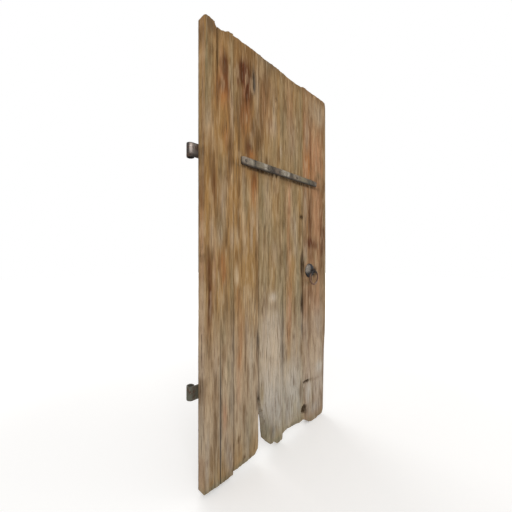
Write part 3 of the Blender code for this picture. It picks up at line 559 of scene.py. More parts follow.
FOURTH_PLANK_STAINS = (
    (PINKISH, 0.6, 510, 1660, 30, 100), (PINKGREY, 0.5, 530, 1500, 30, 90),
    (GREENGREY, 0.5, 480, 1600, 10, 80), (GREENGREY, 0.6, 606, 1660, 10, 100),
    (BROWN, 0.5, 590, 1600, 6, 60), (GREENGREY, 0.6, 560, 1390, 14, 40),
    (GREENGREY, 0.7, 612, 1450, 10, 120), (AMBER, 0.4, 560, 1720, 20, 60), (SALMON, 0.8, 507, 1185, 13, 75),
    (PINKISH, 0.7, 504, 1030, 12, 90), (BROWN, 0.5, 475, 1180, 6, 100), (BLEACHED, 0.3, 525, 1210, 8, 50),
    (GREENGREY, 0.6, 562, 1130, 16, 130), (DIRT, 1, 613, 1118, 13, 9), (BROWN, 0.5, 605, 1050, 10, 50),
    (GREENGREY, 0.6, 480, 900, 10, 120), (SALMON, 0.6, 512, 910, 10, 50), (AMBER, 0.4, 545, 900, 16, 80),
    (ORANGE, 0.35, 510, 760, 20, 90), (SALMON, 0.7, 510, 620, 13, 90), (ORANGE, 0.45, 506, 535, 18, 80),
    (BROWN, 0.8, 546, 502, 8, 14), (AMBER, 0.5, 510, 420, 12, 50), (BROWN, 0.4, 552, 620, 10, 60),
    (GREENGREY, 0.5, 585, 820, 10, 120), (PINKGREY, 0.6, 560, 410, 30, 80),
    (BLEACHED, 0.7, 540, 300, 50, 80), (BLEACHED, 0.6, 545, 170, 50, 80), (PINKGREY, 0.5, 500, 120, 20, 60),
    (DIRT, 1.1, 616, 874, 10, 48), (BROWN, 0.8, 617, 775, 8, 30), (DIRT, 1, 618, 655, 11, 55),
    (SLATE, 0.6, 616, 540, 8, 50), (BROWN, 0.5, 612, 420, 8, 50), (GREENGREY, 0.7, 550, 52, 50, 10),
    (BROWN, 0.5, 600, 200, 12, 30), (BLEACHED, 0.5, 555, 1060, 14, 60), (BLEACHED, 0.4, 528, 1085, 8, 50),
    (CREAM, 0.5, 495, 1185, 7, 50), (CREAM, 0.35, 497, 835, 10, 50), (BLEACHED, 0.35, 560, 965, 14, 50),
    (TAN, 0.5, 555, 135, 14, 40), (BROWN, 0.6, 611, 235, 7, 30),
)
FIFTH_PLANK_STAINS = (
    (TAN, 0.6, 740, 1740, 90, 60), (BLEACHED, 0.2, 705, 1680, 16, 60), (BROWN, 0.7, 684, 1665, 7, 55),
    (PINKGREY, 0.6, 660, 1560, 14, 70), (ORANGE, 0.25, 750, 1460, 46, 100),
    (SALMON, 0.7, 750, 1460, 46, 100), (ORANGE, 0.9, 668, 1400, 28, 65), (SALMON, 0.6, 655, 1370, 14, 50),
    (REDBROWN, 0.5, 694, 1480, 6, 110), (GREENGREY, 0.6, 775, 1365, 16, 20),
    (BROWN, 0.6, 692, 1150, 18, 130), (REDBROWN, 0.6, 694, 1130, 14, 120),
    (SALMON, 0.7, 758, 1190, 34, 120), (PINKGREY, 0.6, 650, 1200, 14, 90), (REDBROWN, 1, 692, 985, 28, 24),
    (REDBROWN, 0.6, 745, 975, 28, 20), (BROWN, 0.25, 650, 1020, 16, 30),
    (REDBROWN, 0.7, 804, 1040, 16, 130), (SALMON, 0.4, 760, 1050, 24, 60),
    (PINKGREY, 0.6, 650, 930, 14, 50), (REDBROWN, 0.5, 700, 920, 14, 30), (BROWN, 0.6, 812, 860, 12, 80),
    (BROWN, 0.4, 800, 1250, 20, 80), (DIRT, 0.9, 631, 874, 5, 45), (GREENGREY, 0.5, 650, 900, 12, 12),
    (REDBROWN, 0.5, 684, 715, 24, 35), (BROWN, 0.6, 684, 560, 16, 100), (SALMON, 0.4, 650, 660, 12, 80),
    (SALMON, 0.35, 760, 660, 26, 60), (PINKGREY, 0.6, 765, 530, 40, 80), (PINKGREY, 0.6, 655, 480, 18, 80),
    (BLEACHED, 0.25, 776, 400, 34, 60), (BLEACHED, 0.25, 700, 360, 30, 60),
    (BLEACHED, 0.9, 782, 290, 28, 30), (BROWN, 0.8, 690, 238, 22, 5), (BROWN, 0.35, 740, 228, 30, 5),
    (BLEACHED, 0.2, 755, 160, 50, 60), (BLEACHED, 0.6, 676, 175, 20, 50), (BROWN, 0.5, 716, 140, 10, 70),
    (DIRT, 0.6, 650, 82, 10, 14), (BROWN, 0.4, 636, 160, 10, 30), (GREENGREY, 0.7, 838, 1150, 10, 600),
    (BROWN, 0.4, 816, 1620, 10, 100), (GREENGREY, 0.5, 735, 16, 80, 10), (PINKGREY, 0.6, 740, 70, 60, 30),
    (BROWN, 0.9, 828, 1310, 14, 50), (REDBROWN, 1.1, 824, 1010, 16, 65), (BLEACHED, 0.5, 792, 1710, 20, 45),
    (DIRT, 0.8, 668, 240, 13, 6), (BROWN, 0.5, 645, 685, 10, 45), (BROWN, 0.5, 826, 420, 10, 90),
    (BROWN, 0.6, 827, 1225, 10, 45), (BLEACHED, 0.35, 755, 1720, 60, 60), (BROWN, 0.4, 706, 1660, 10, 45),
    (CREAM, 0.35, 795, 335, 12, 20), (BROWN, 0.5, 676, 460, 10, 70),
)
# Painted shadow on the wood, partly rust stain: a dark line and a brown wash under the strap, and dark
# patches under and behind the ring pull
SHADE_AND_STAINS_AT_IRON = (
    (DIRT, 1.2, 330, 1291.5, 115, 6.2), (DIRT, 1.2, 600, 1291.5, 115, 6.2),
    (BROWN, 0.4, 465, 1277, 200, 10), (BROWN, 0.6, 685, 770, 45, 14), (DIRT, 1.2, 728, 828, 24, 22),
    (DIRT, 0.6, 700, 788, 14, 12),
)
STAINS_AND_SHADE = (
    SIDE_STAINS + FIRST_PLANK_STAINS + SECOND_PLANK_STAINS + THIRD_PLANK_STAINS + FOURTH_PLANK_STAINS
    + FIFTH_PLANK_STAINS + SHADE_AND_STAINS_AT_IRON
)
print(len(STAINS_AND_SHADE), "stains")

# %% Lay the stains on


def plain(colour, count):
    """One colour for each of this many points."""
    return np.tile(np.array(colour), (count, 1))


def laid_over(under, colour, strength):
    """One colour laid over another by a strength from 0 to 1 at each point."""
    return under + np.clip(strength, 0, 1)[:, None] * (np.array(colour) - under)


# Less green and blue where the wood stayed dry, and more where rain splashed up from the ground
DRY_LOSS = np.array((0.005, 0.070, 0.165))
SPLASH_GAIN = np.array((0.000, 0.130, 0.300))


def wood_tone(base, across, high, grain, joint, sheltered):
    """The wood's colour at each point: the plank's own, silvered low down, then every stain and painted
    shadow in turn.

    A stain is strongest in its middle and falls away as e to the minus distance, and stretched hills
    along the grain break its edge into streaks. The dry upper half keeps its warm colour, rain splash greys
    the feet, most on the right, dirt gathers at the joints, and the back is sheltered.
    """
    tone = plain(base, len(across))
    broad = hills(grain * 40, high * 2.6, 31)
    tone = laid_over(tone, GREENGREY, 0.45 * ease((broad - 0.60) / 0.3))
    tone = laid_over(tone, AMBER, 0.50 * ease((0.42 - broad) / 0.3))
    tone = laid_over(tone, BLEACHED, 0.42 * ease((0.80 - high) / 0.35) * ease(high / 0.25))
    tone = laid_over(tone, BROWN, 0.40 * ease((high - 1.74) / 0.06))
    for number, (colour, strength, *place) in enumerate(STAINS_AND_SHADE):
        middle, height, wide, tall = np.array(place) / 1000
        far = np.abs((across - middle) / (1.3 * wide)) ** 2.4
        far = far + np.abs((high - height) / (1.2 * tall)) ** 2.4
        broken = 0.70 + 0.80 * hills(grain * 150, high * 14, 40 + number % 7)
        tone = laid_over(tone, colour, strength * np.exp(-far) * broken)
    mottle = 0.6 * hills(grain * 75, high * 12, 35) + 0.4 * hills(grain * 150, high * 30, 37)
    tone = laid_over(tone, CREAM, 0.30 * ease((mottle - 0.56) / 0.22))
    tone = laid_over(tone, BROWN, 0.45 * ease((0.40 - mottle) / 0.22))
    streak = 0.6 * hills(grain * 280, high * 8, 32) + 0.4 * hills(grain * 420, high * 22, 36)
    tone = tone * (0.86 + 0.34 * streak)[:, None]
    kept_dry = ease((high - 0.70) / 0.50)[:, None]
    splashed = ease((0.45 - high) / 0.30) * (0.35 + 0.65 * ease((across - 0.25) / 0.10))
    tone = tone * (1 - kept_dry * DRY_LOSS) * (1 + splashed[:, None] * SPLASH_GAIN)
    grimy = ease((hills(high * 7, across * 9, 33) - 0.4) / 0.3)
    tone = laid_over(tone, DIRT, 0.40 * np.clip(1 - joint / 0.0025, 0, 1) * grimy)
    back = np.array(SHELTERED) * (0.8 + 0.5 * hills(grain * 60, high * 1.4, 34))[:, None]
    return tone + sheltered[:, None] * (back - tone)


print("sheltered side", SHELTERED)

# %% [markdown]
# ## Wood material
# The mesh carries two facts for each point: its tone, and its place along the grain. The material lays fine
# fibres, dark pores and hair cracks over the tone, all stretched along that grain, so they bend round the
# knots with it. Image textures would blur close up; these noises don't.

# %% Shader helpers


def noise_on(tree, source, stretch, detail, rough):
    """A noise read on a vector after each of its axes is multiplied."""
    place = add(tree, "ShaderNodeMapping", {"Vector": source, "Scale": stretch}).outputs[0]
    inputs = {"Vector": place, "Scale": 1.0, "Detail": detail, "Roughness": rough}
    return add(tree, "ShaderNodeTexNoise", inputs).outputs["Fac"]


def mixed(tree, factor, under, over, blend="MIX"):
    """A colour mixed over another by a factor. The Mix node's colours are inputs 6 and 7 and output 2."""
    inputs = {0: factor, 6: under, 7: (*over, 1)}
    return add(tree, "ShaderNodeMix", inputs, data_type="RGBA", blend_type=blend).outputs[2]


def summed(tree, *terms):
    """Values added up, each with its own weight."""
    total = 0
    for value, weight in terms:
        inputs = {0: value, 1: weight, 2: total}
        total = add(tree, "ShaderNodeMath", inputs, operation="MULTIPLY_ADD").outputs[0]
    return total


def attribute(tree, name, output):
    """One of the mesh's own facts, read at each point."""
    return add(tree, "ShaderNodeAttribute", {}, attribute_name=name).outputs[output]


def bumped(tree, height, distance, strength):
    """The shading's direction, tilted as a relief this high would tilt it."""
    inputs = {"Height": height, "Distance": distance, "Strength": strength}
    return add(tree, "ShaderNodeBump", inputs).outputs[0]


print("helpers ready")

# %% Weathered wood


def wood_material(name, contrast, bleach):
    """Fibres, streaks, blotches, hair cracks and pores over the mesh's tone, along the mesh's grain.

    Each layer is a noise's range turned into a strength from one end to the other, and a colour laid on.
    """
    made, tree, shader = new_material(name, 0.9)
    along = attribute(tree, "grain", "Vector")
    fibre = noise_on(tree, along, (1100, 500, 26), 5, 0.65)
    streak = noise_on(tree, along, (210, 100, 12.0), 4, 0.55)
    crack = noise_on(tree, along, (480, 160, 8.0), 3, 0.5)
    pores = noise_on(tree, along, (900, 600, 90), 2, 0.5)
    blotch = noise_on(tree, along, (60, 60, 26), 5, 0.7)
    colour = attribute(tree, "tone", "Color")
    for noise, low, high, start, end, over, blend in (
        (fibre, 0.30, 0.70, contrast, 0, (0.36, 0.30, 0.24), "MULTIPLY"),
        (streak, 0.50, 0.72, 0, bleach, (0.58, 0.47, 0.33), "MIX"),
        (streak, 0.50, 0.30, 0, 0.42, (0.55, 0.42, 0.30), "MULTIPLY"),
        (blotch, 0.56, 0.74, 0, 0.35, (0.62, 0.56, 0.44), "MULTIPLY"),
        (crack, 0.40, 0.31, 0, 0.75, (0.075, 0.042, 0.020), "MIX"),
        (pores, 0.33, 0.27, 0, 0.60, (0.06, 0.035, 0.018), "MIX"),
    ):
        strength = ranged(tree, noise, low, high, start, end)
        colour = mixed(tree, strength, colour, over, blend)
    height = summed(tree, (fibre, 0.45), (ranged(tree, crack, 0.42, 0.31), -0.9), (streak, 0.6))
    fill(tree, shader, {
        "Base Color": colour, "Roughness": ranged(tree, fibre, 0.3, 0.7, 0.95, 0.78),
        "Specular IOR Level": 0.10, "Normal": bumped(tree, height, 0.0012, 0.8),
    })
    return made


FACE_WOOD = wood_material("weathered_wood", 0.50, 0.20)
LEDGE_WOOD = wood_material("sheltered_wood", 0.60, 0.12)
print("materials", FACE_WOOD.name, LEDGE_WOOD.name)

# %% Finish a piece


def finish_piece(made, node, body, finish, tone, grain):
    """Writes each point's tone and grain place into the mesh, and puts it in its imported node's stead."""
    colour = made.data.attributes.new("tone", "FLOAT_COLOR", "POINT")
    colour.data.foreach_set("color", np.column_stack([tone, np.ones(len(tone))]).astype(np.float32).ravel())
    place = made.data.attributes.new("grain", "FLOAT_VECTOR", "POINT")
    place.data.foreach_set("vector", np.asarray(grain, np.float32).ravel())
    made.data.materials.append(finish)
    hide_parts(node)
    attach(made, body)
    print(made.name, len(made.data.polygons), "faces")


print(len(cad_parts), "packed nodes to dress")


# %% [markdown]
# ## Making the planks
# A plank's columns run up it, closer together at its edges, checks and splits, where the shape turns
# sharply. Each point is placed between the measured foot and top and between the measured edges, then sunk
# by the wear. The points at the long edges and ends also get ragged inwards, never outwards, so the planks
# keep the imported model's size.

# %% Plank surfaces
COLUMN_STEP = 0.0021
LEAST_STEP = 0.00025
ROWS = 270
EDGE_COLUMNS = np.array([0, 0.0004, 0.0010, 0.0018, 0.0030])
CHECK_COLUMNS = np.array([-0.0009, 0.0, 0.0009])
DEPTHS = np.array([0, 0.03, 0.08, 0.20, 0.40, 0.60, 0.80, 0.92, 0.97, 1.0])
END_ROWS = np.array([0, 0.0006, 0.0014, 0.0028])
WORN_BACK_BELOW = 0.31
RAGGED = 0.0006
RAGGED_FOOT = 0.0020
RAGGED_TOP = 0.0012
HOLLOW_DARKENING = 0.85
PLANK_SMOOTH = 50


def plank_columns(number, width):
    """Where the columns stand across the plank: evenly, with more at edges, checks and splits."""
    even = np.linspace(0, width, int(width / COLUMN_STEP) + 1)
    marks = [EDGE_COLUMNS, width - EDGE_COLUMNS]
    marks += [place + CHECK_COLUMNS for at, place, *_ in CHECKS if at == number]
    splits = [place + SPLIT_COLUMNS for place in SPLITS.get(PLANKS[number], ())]
    marks += splits
    for split in splits:
        even = even[(even < split[0]) | (even > split[-1])]
    every = np.unique(np.clip(np.concatenate([even, *marks]), 0, width).round(5))
    return every[np.concatenate([[True], np.diff(every) > LEAST_STEP])]


def plank_points(number):
    """The plank's skin: where its points are, their quads, and their tone and grain."""
    node = PLANKS[number]
    low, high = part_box(node)
    form = outline(node)
    width = high.x - low.x
    columns = plank_columns(number, width)
    rows = np.unique(np.concatenate([np.linspace(0, 1, ROWS), END_ROWS, 1 - END_ROWS]))
    (i, j, k), quads = lattice(len(columns), len(DEPTHS), len(rows))
    start, through, up = columns[i], DEPTHS[j], rows[k]
    x, share = low.x + start, start / width
    for _ in range(3):
        foot = np.interp(x, *form["foot"]) + RAGGED_FOOT * hills(x * 330, through * 4, 51 + number)
        top = np.interp(x, *form["top"]) - RAGGED_TOP * hills(x * 260, through * 4, 61 + number)
        z = foot + (top - foot) * up
        left, right = np.interp(z, *form["left"]), np.interp(z, *form["right"])
        x = left + (right - left) * share
    edge = np.minimum(x - left, right - x)
    end = np.minimum(z - foot, top - z)
    ragged = RAGGED * hills(z * 90, through * 5, 71 + number) * np.exp(-edge / 0.004)
    x = x + np.where(share < 0.5, ragged, -ragged)
    across = x - HINGE_EDGE
    sunk = np.maximum(worn_depth(number, across, z, edge, end), knocked_depth(across, z))
    rough_back = 0.0006 * hills(across * 90, z * 2.0, 81) + 0.0015 * np.clip(1 - edge / 0.0015, 0, 1)
    front, back = low.y + sunk, high.y - rough_back
    y = front + (back - front) * through
    grain = across + sway(across, z)
    left_open = (number == 0) | ((number == 2) & (z < WORN_BACK_BELOW))
    right_open = number == 4
    is_open = ((share == 0) & left_open) | ((share == 1) & right_open) | (up == 0) | (up == 1)
    joint = np.minimum(np.where(left_open, 1, x - left), 1 if right_open else right - x)
    sheltered = np.where(is_open, ease((through - 0.85) / 0.15), ease(through * 1.6 - 0.4))
    outer = (share == 1) * (number == 4) * 1.0 - (share == 0) * (number == 0) * 1.0
    round_corner = across + (y - FACE) * outer
    tone = wood_tone(PLANK_TONES[number], round_corner, z, grain, joint, sheltered)
    # The face goes darker the deeper it sinks past a check's depth, in knocks and the deepest checks
    tone = laid_over(tone, DIRT, ease((sunk - CHECK_DEPTH) / 0.006) * (1 - through) * HOLLOW_DARKENING)
    return np.column_stack([x, y, z]), quads, tone, np.column_stack([grain, y - FACE, z + 0.37 * number])


for number, node in enumerate(PLANKS):
    points, quads, tone, grain = plank_points(number)
    made = skin(f"worn_{node}", PLANK_SMOOTH, points, quads)
    finish_piece(made, node, "leaf", FACE_WOOD, tone, grain)

# %% [markdown]
# ## Ledges
# The two cross pieces on the back never saw rain, so they stay square and brown, with saw marks and a
# planed chamfer. They are the same lattice laid on its side, with the grain running across the door.

# %% Ledge surfaces
LEDGE_CHAMFER = 0.007
LEDGE_TONE = (0.215, 0.135, 0.070)
LEDGE_SMOOTH = 30
LEDGE_COLUMNS = 230
LEDGE_ROWS = 40


def spread(size, ends, inset, count):
    """Places along an edge: close together at both ends, even between."""
    return np.concatenate([ends, np.linspace(inset, size - inset, count), size - ends[::-1]])


def ledge_points(node, seed):
    """The ledge's skin: a box whose two back arrises fall away over the chamfer, with softened ends."""
    low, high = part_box(node)
    size = high - low
    chamfer = np.array([0, 0.0006, 0.0020, LEDGE_CHAMFER - 0.0008, LEDGE_CHAMFER + 0.0008])
    heights = spread(size.z, chamfer, 0.011, LEDGE_ROWS)
    lengths = spread(size.x, np.array([0, 0.0005, 0.0015]), 0.004, LEDGE_COLUMNS)
    depths = np.linspace(0, 1, 7)
    (i, j, k), quads = lattice(len(lengths), len(depths), len(heights))
    along, through, up = lengths[i], depths[j], heights[k]
    edge = np.minimum(up, size.z - up)
    end = np.minimum(along, size.x - along)
    fall = np.clip(LEDGE_CHAMFER - edge, 0, None)
    worn = 0.0009 * hills(along * 9, up * 130, seed) + 0.0007 * hills(along * 60, up * 18, seed + 1)
    worn = worn + 0.0012 * np.clip(1 - end / 0.0018, 0, 1)
    y = low.y + (size.y - fall - worn) * through
    wave = 0.0008 * hills(along * 25, through * 6, seed + 2)
    z = low.z + up + np.where(up < size.z / 2, wave, -wave) * np.exp(-edge / 0.006)
    nick = 0.0012 * hills(up * 200, through * 5, seed + 3)
    x = low.x + along + np.where(along < size.x / 2, nick, -nick) * np.exp(-end / 0.004)
    grain = z + 0.006 * (hills(x * 3, z * 10, seed + 4) - 0.5)
    tone = np.array(LEDGE_TONE) * (0.75 + 0.6 * hills(grain * 120, x * 1.5, seed + 5))[:, None]
    tone = laid_over(tone, GREENGREY, 0.5 * hills(grain * 40, x * 1.1, seed + 6))
    tone = laid_over(tone, DIRT, 0.7 * np.exp(-end / 0.012))
    return np.column_stack([x, y, z]), quads, tone, np.column_stack([grain, y, x])


for node, seed in (("upper_ledge", 101), ("lower_ledge", 121)):
    points, quads, tone, grain = ledge_points(node, seed)
    made = skin(f"aged_{node}", LEDGE_SMOOTH, points, quads)
    finish_piece(made, node, "leaf", LEDGE_WOOD, tone, grain)

# %% [markdown]
# ## Iron materials
# Forged iron left outside isn't one colour: black scale, brown rust, pale worn spots and a green-grey bloom
# share it. One recipe with named colours makes the strap, bands, pull and nails, and each gets its own
# balance. Metal shows only where the scale is worn, so the metallic value follows the wear.

# %% Iron recipe


def iron_material(name, scale, rust, pale, rusty, worn):
    """Black scale, or the mesh's own tone where the scale is None, under rust, pale wear and pits.

    Rust lies in broad patches and wear on smaller ones, and each reaches further as its share rises.
    """
    made, tree, shader = new_material(name, 0.7)
    place = add(tree, "ShaderNodeTexCoord", {}).outputs["Object"]
    broad, patch, pits, hammer = (
        noise_on(tree, place, (size, size, size), detail, rough)
        for size, detail, rough in ((55, 5, 0.65), (140, 5, 0.6), (900, 4, 0.6), (190, 2, 0.4))
    )
    rusted = ranged(tree, broad, 0.62 - rusty * 0.3, 0.80 - rusty * 0.3)
    wear = ranged(tree, patch, 0.70 - worn * 0.25, 0.84 - worn * 0.25)
    pitted = ranged(tree, pits, 0.30, 0.70, 0.75, 0)
    colour = (*scale, 1) if scale else attribute(tree, "tone", "Color")
    colour = mixed(tree, rusted, colour, rust)
    colour = mixed(tree, wear, colour, pale)
    colour = mixed(tree, pitted, colour, (0.25, 0.20, 0.17), "MULTIPLY")
    height = summed(tree, (pits, 0.5), (hammer, 0.7))
    fill(tree, shader, {
        "Base Color": colour, "Roughness": ranged(tree, patch, 0.4, 0.8, 0.85, 0.48),
        "Metallic": ranged(tree, patch, 0.5, 0.8, 0.10, 0.45), "Normal": bumped(tree, height, 0.0008, 0.9),
    })
    return made


# Each is its scale, its rust, its pale wear, and the shares of rust and of wear
IRON_RECIPES = {
    "band_iron": (None, (0.110, 0.055, 0.030), (0.30, 0.27, 0.23), 0.5, 0.3),
    "strap_iron": (None, (0.130, 0.080, 0.050), (0.30, 0.27, 0.24), 0.3, 0.35),
    "pull_iron": (None, (0.080, 0.045, 0.030), (0.16, 0.15, 0.14), 0.2, 0.2),
    "plain_iron": ((0.045, 0.038, 0.034), (0.110, 0.050, 0.025), (0.18, 0.16, 0.14), 0.5, 0.3),
    "strap_nail_iron": ((0.150, 0.130, 0.105), (0.120, 0.075, 0.045), (0.32, 0.29, 0.25), 0.3, 0.5),
    "ring_iron": (None, (0.130, 0.060, 0.030), (0.24, 0.19, 0.15), 0.3, 0.2),
    "rusty_iron": ((0.080, 0.045, 0.030), (0.150, 0.065, 0.030), (0.24, 0.19, 0.15), 0.8, 0.3),
}
IRON = {name: iron_material(name, *recipe) for name, recipe in IRON_RECIPES.items()}
print("iron", list(IRON))

# %% [markdown]
# ## Front strap
# A smith drew this bar out by hand, so its edges wander and its face is dished by the hammer. The lattice
# is right again: the outline is measured from the imported strap, and hammer marks sink into the face. The
# photograph shows its left end and two places along it rubbed pale, and a dark lower side, which is
# painted here as shade on its lower edge and on its sides towards the wood.

# %% Strap surface
STRAP_SHADE = (0.042, 0.030, 0.018)
STRAP_GREY = (0.205, 0.172, 0.120)
IRON_SMOOTH = 50
STRAP_COLUMNS = 260
# Each is a colour, its strength, the middle across the leaf, and half its width
STRAP_MARKS = (
    ((0.50, 0.42, 0.34), 0.75, 0.205, 0.026), ((0.52, 0.48, 0.38), 0.70, 0.240, 0.012),
    ((0.020, 0.017, 0.015), 0.95, 0.2620, 0.008), ((0.30, 0.26, 0.18), 0.70, 0.290, 0.020),
    ((0.56, 0.51, 0.42), 0.90, 0.328, 0.014), ((0.042, 0.030, 0.020), 0.98, 0.378, 0.024),
    ((0.22, 0.15, 0.11), 0.70, 0.412, 0.018), ((0.52, 0.48, 0.39), 0.90, 0.460, 0.018),
    ((0.60, 0.56, 0.47), 0.85, 0.490, 0.010), ((0.028, 0.024, 0.020), 0.98, 0.517, 0.012),
    ((0.38, 0.31, 0.23), 0.75, 0.556, 0.024), ((0.32, 0.28, 0.18), 0.70, 0.615, 0.024),
    ((0.045, 0.058, 0.042), 0.90, 0.672, 0.014), ((0.08, 0.06, 0.04), 0.95, 0.706, 0.016),
    ((0.26, 0.22, 0.18), 0.85, 0.738, 0.010),
)


def strap_points():
    """The strap's skin: the measured outline, a face dished by hammer marks, and round arrises."""
    low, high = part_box("front_strap")
    form = outline("front_strap")
    size = high - low
    lengths = spread(size.x, np.array([0, 0.0006, 0.0016, 0.0030]), 0.005, STRAP_COLUMNS)
    heights = np.array([0, 0.02, 0.05, 0.10, 0.18, 0.28, 0.39, 0.5, 0.61, 0.72, 0.82, 0.90, 0.95, 0.98, 1])
    depths = np.array([0, 0.12, 0.30, 0.5, 0.7, 0.88, 1])
    (i, j, k), quads = lattice(len(lengths), len(depths), len(heights))
    x, through, up = low.x + lengths[i], depths[j], heights[k]
    foot, top = np.interp(x, *form["foot"]), np.interp(x, *form["top"])
    foot = foot + 0.0009 * hills(x * 55, 2, 131) + 0.0004 * hills(x * 260, through * 3, 132)
    top = top - 0.0009 * hills(x * 48, 5, 133) - 0.0004 * hills(x * 260, through * 3, 134)
    z = foot + (top - foot) * up
    edge, end = np.minimum(z - foot, top - z), np.minimum(x - low.x, high.x - x)
    sunk = 0.0010 * hills(x * 95, z * 95, 135) + 0.0004 * hills(x * 320, z * 320, 136)
    sunk = sunk + 0.0022 * np.exp(-edge / 0.0013) + 0.0022 * np.exp(-end / 0.0015)
    y = low.y + sunk + (size.y - sunk) * through
    across = x - HINGE_EDGE
    tone = plain(STRAP_GREY, len(x)) * (0.75 + 0.5 * hills(across * 70, z * 70, 137))[:, None]
    for number, (colour, strength, middle, wide) in enumerate(STRAP_MARKS):
        broken = 0.35 + 1.1 * hills(across * 150, z * 150, 138 + number)
        tone = laid_over(tone, colour, strength * np.exp(-((across - middle) / wide) ** 2) * broken)
    # Painted shade along the strap's lower edge and on its sides towards the wood
    shaded_sides = ease((0.0085 - (z - foot)) / 0.005) + ease((through - 0.25) / 0.4)
    tone = laid_over(tone, STRAP_SHADE, 0.90 * shaded_sides)
    return np.column_stack([x, y, z]), quads, tone


points, quads, tone = strap_points()
strap = skin("forged_strap", IRON_SMOOTH, points, quads)
finish_piece(strap, "front_strap", "leaf", IRON["strap_iron"], tone, points)

# %% [markdown]
# ## Swept and turned pieces
# A hinge band is a flat bar carried along a bent path, and a rose is a profile carried round a circle. Both
# are one surface of two parameters: the place along the path and the place round the section. The rings of
# points are joined into quads, and the two ends are closed by one point each.

# %% Tube helper


def tube(rings, closed=False):
    """The points of rings, numbered ring, around, xyz, and the faces that join them and cap the ends."""
    count, around = rings.shape[:2]
    number = np.arange(count * around).reshape(count, around)
    if closed:
        number = np.vstack([number, number[:1]])
    here, beside = number[:-1], np.roll(number, -1, 1)[:-1]
    ahead, across = number[1:], np.roll(number, -1, 1)[1:]
    quads = np.stack([here, beside, across, ahead], -1).reshape(-1, 4)
    points = rings.reshape(-1, 3)
    if closed:
        return points, quads
    caps = []
    for ring, tip, turn in ((number[0], len(points), -1), (number[-1], len(points) + 1, 1)):
        pair = np.stack([ring, np.roll(ring, -1)], -1)[:, ::turn]
        caps.append(np.column_stack([pair, np.full(around, tip)]))
    points = np.vstack([points, rings[0].mean(0), rings[-1].mean(0)])
    return points, quads, np.concatenate(caps)


def along_path(path):
    """The unit direction of a path of (x, y) points at each point, and the distance walked to it."""
    step = np.gradient(path, axis=0)
    direction = step / np.linalg.norm(step, axis=1)[:, None]
    walked = np.concatenate([[0], np.cumsum(np.linalg.norm(np.diff(path, axis=0), axis=1))])
    return direction, walked


print("tube of 3 rings of 4:", tube(np.zeros((3, 4, 3)))[1].shape[0], "quads")

# %% [markdown]
# ## Hinge bands
# Each band is cranked down from the ledge to the planks and rolled round into an eye that hangs on a wall
# pin. The bar's breadth is a formula of the distance across the door: wide at the eye, a shoulder, a long
# taper and a leaf-shaped tip.

# %% Band surfaces
BAND_THICKNESS = 0.006
TUBE_SMOOTH = 45
EYE_OUTER = 0.0155
EYE_WRAP = math.radians(300)
CRANK = (0.012, 0.040)
BEND = 0.008
BAND_SHAPE = (
    (-0.045, 0.0275), (0.012, 0.0275), (0.062, 0.0170), (0.476, 0.0110), (0.492, 0.0165),
    (0.507, 0.0120), (0.519, 0.0018), (0.520, 0.0006),
)
FLAT_POINTS = 150
ARC_POINTS = 9
ROLL_POINTS = 80
SECTION_POINTS = 48
SECTION_SQUARE = 0.28


def turned_corner(before, corner, after, radius):
    """Points on the arc of this radius that rounds a corner of a path."""
    back = (before - corner) / np.linalg.norm(before - corner)
    ahead = (after - corner) / np.linalg.norm(after - corner)
    half = math.acos(np.clip(back @ ahead, -1, 1)) / 2
    centre = corner + (back + ahead) / np.linalg.norm(back + ahead) * radius / math.sin(half)
    first = corner + back * radius / math.tan(half) - centre
    last = corner + ahead * radius / math.tan(half) - centre
    share = np.linspace(0, 1, ARC_POINTS)[:, None]
    chord = first * (1 - share) + last * share
    return centre + chord / np.linalg.norm(chord, axis=1)[:, None] * radius


def band_path(low, high):
    """The band's middle line seen from above: tip, ledge, crank, planks and once round the eye."""
    over, under = high.y - BAND_THICKNESS / 2, low.y + BAND_THICKNESS / 2
    crank = np.array(CRANK) + HINGE_EDGE
    eye = np.array([low.x + EYE_OUTER, low.y + EYE_OUTER])
    corners = np.array([(high.x, over), (crank[1], over), (crank[0], under), (eye[0], under)])
    flat = np.linspace(corners[0], corners[1] + (BAND_THICKNESS, 0), FLAT_POINTS)
    first = turned_corner(corners[0], corners[1], corners[2], BEND)
    second = turned_corner(corners[1], corners[2], corners[3], BEND)
    turn = -math.pi / 2 - np.linspace(0, EYE_WRAP, ROLL_POINTS)
    roll = eye + (EYE_OUTER - BAND_THICKNESS / 2) * np.column_stack([np.cos(turn), np.sin(turn)])
    path = np.vstack([flat, first, second, roll])
    keep = np.concatenate([[True], np.linalg.norm(np.diff(path, axis=0), axis=1) > 0.0002])
    return path[keep]


def squared(count, power):
    """Points round a squared circle: cosine and sine, each with its size raised to a power under 1."""
    turn = (np.arange(count) + 0.5) / count * 2 * math.pi
    return [np.sign(wave) * np.abs(wave) ** power for wave in (np.cos(turn), np.sin(turn))]


def band_rings(node, seed):
    """A squared section as thick as the bar and as broad as its shape says, carried along the path."""
    low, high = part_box(node)
    middle = (low.z + high.z) / 2
    path = band_path(low, high)
    direction, walked = along_path(path)
    side = np.column_stack([-direction[:, 1], direction[:, 0]])
    breadth = np.interp(path[:, 0] - HINGE_EDGE, *np.array(BAND_SHAPE).T)
    end = np.minimum(walked, walked[-1] - walked)
    soft = np.sqrt(np.clip(1 - (1 - np.clip(end / 0.0022, 0, 1)) ** 2, 0.04, 1))
    tall, thick = squared(SECTION_POINTS, SECTION_SQUARE)
    worn = 0.9 + 0.1 * hills(walked[:, None] * 120, tall[None, :] * 3 + thick[None, :] * 2 + 8, seed)
    off = thick[None, :] * (BAND_THICKNESS / 2 * soft)[:, None] * worn
    edge = 0.0010 * hills(walked * 70, seed, seed + 1)
    up = tall[None, :] * (np.clip(breadth - edge, 0.0004, None) * (0.6 + 0.4 * soft))[:, None]
    x = path[:, 0, None] + side[:, 0, None] * off
    y = path[:, 1, None] + side[:, 1, None] * off
    return np.stack([x, y, middle + up], -1)


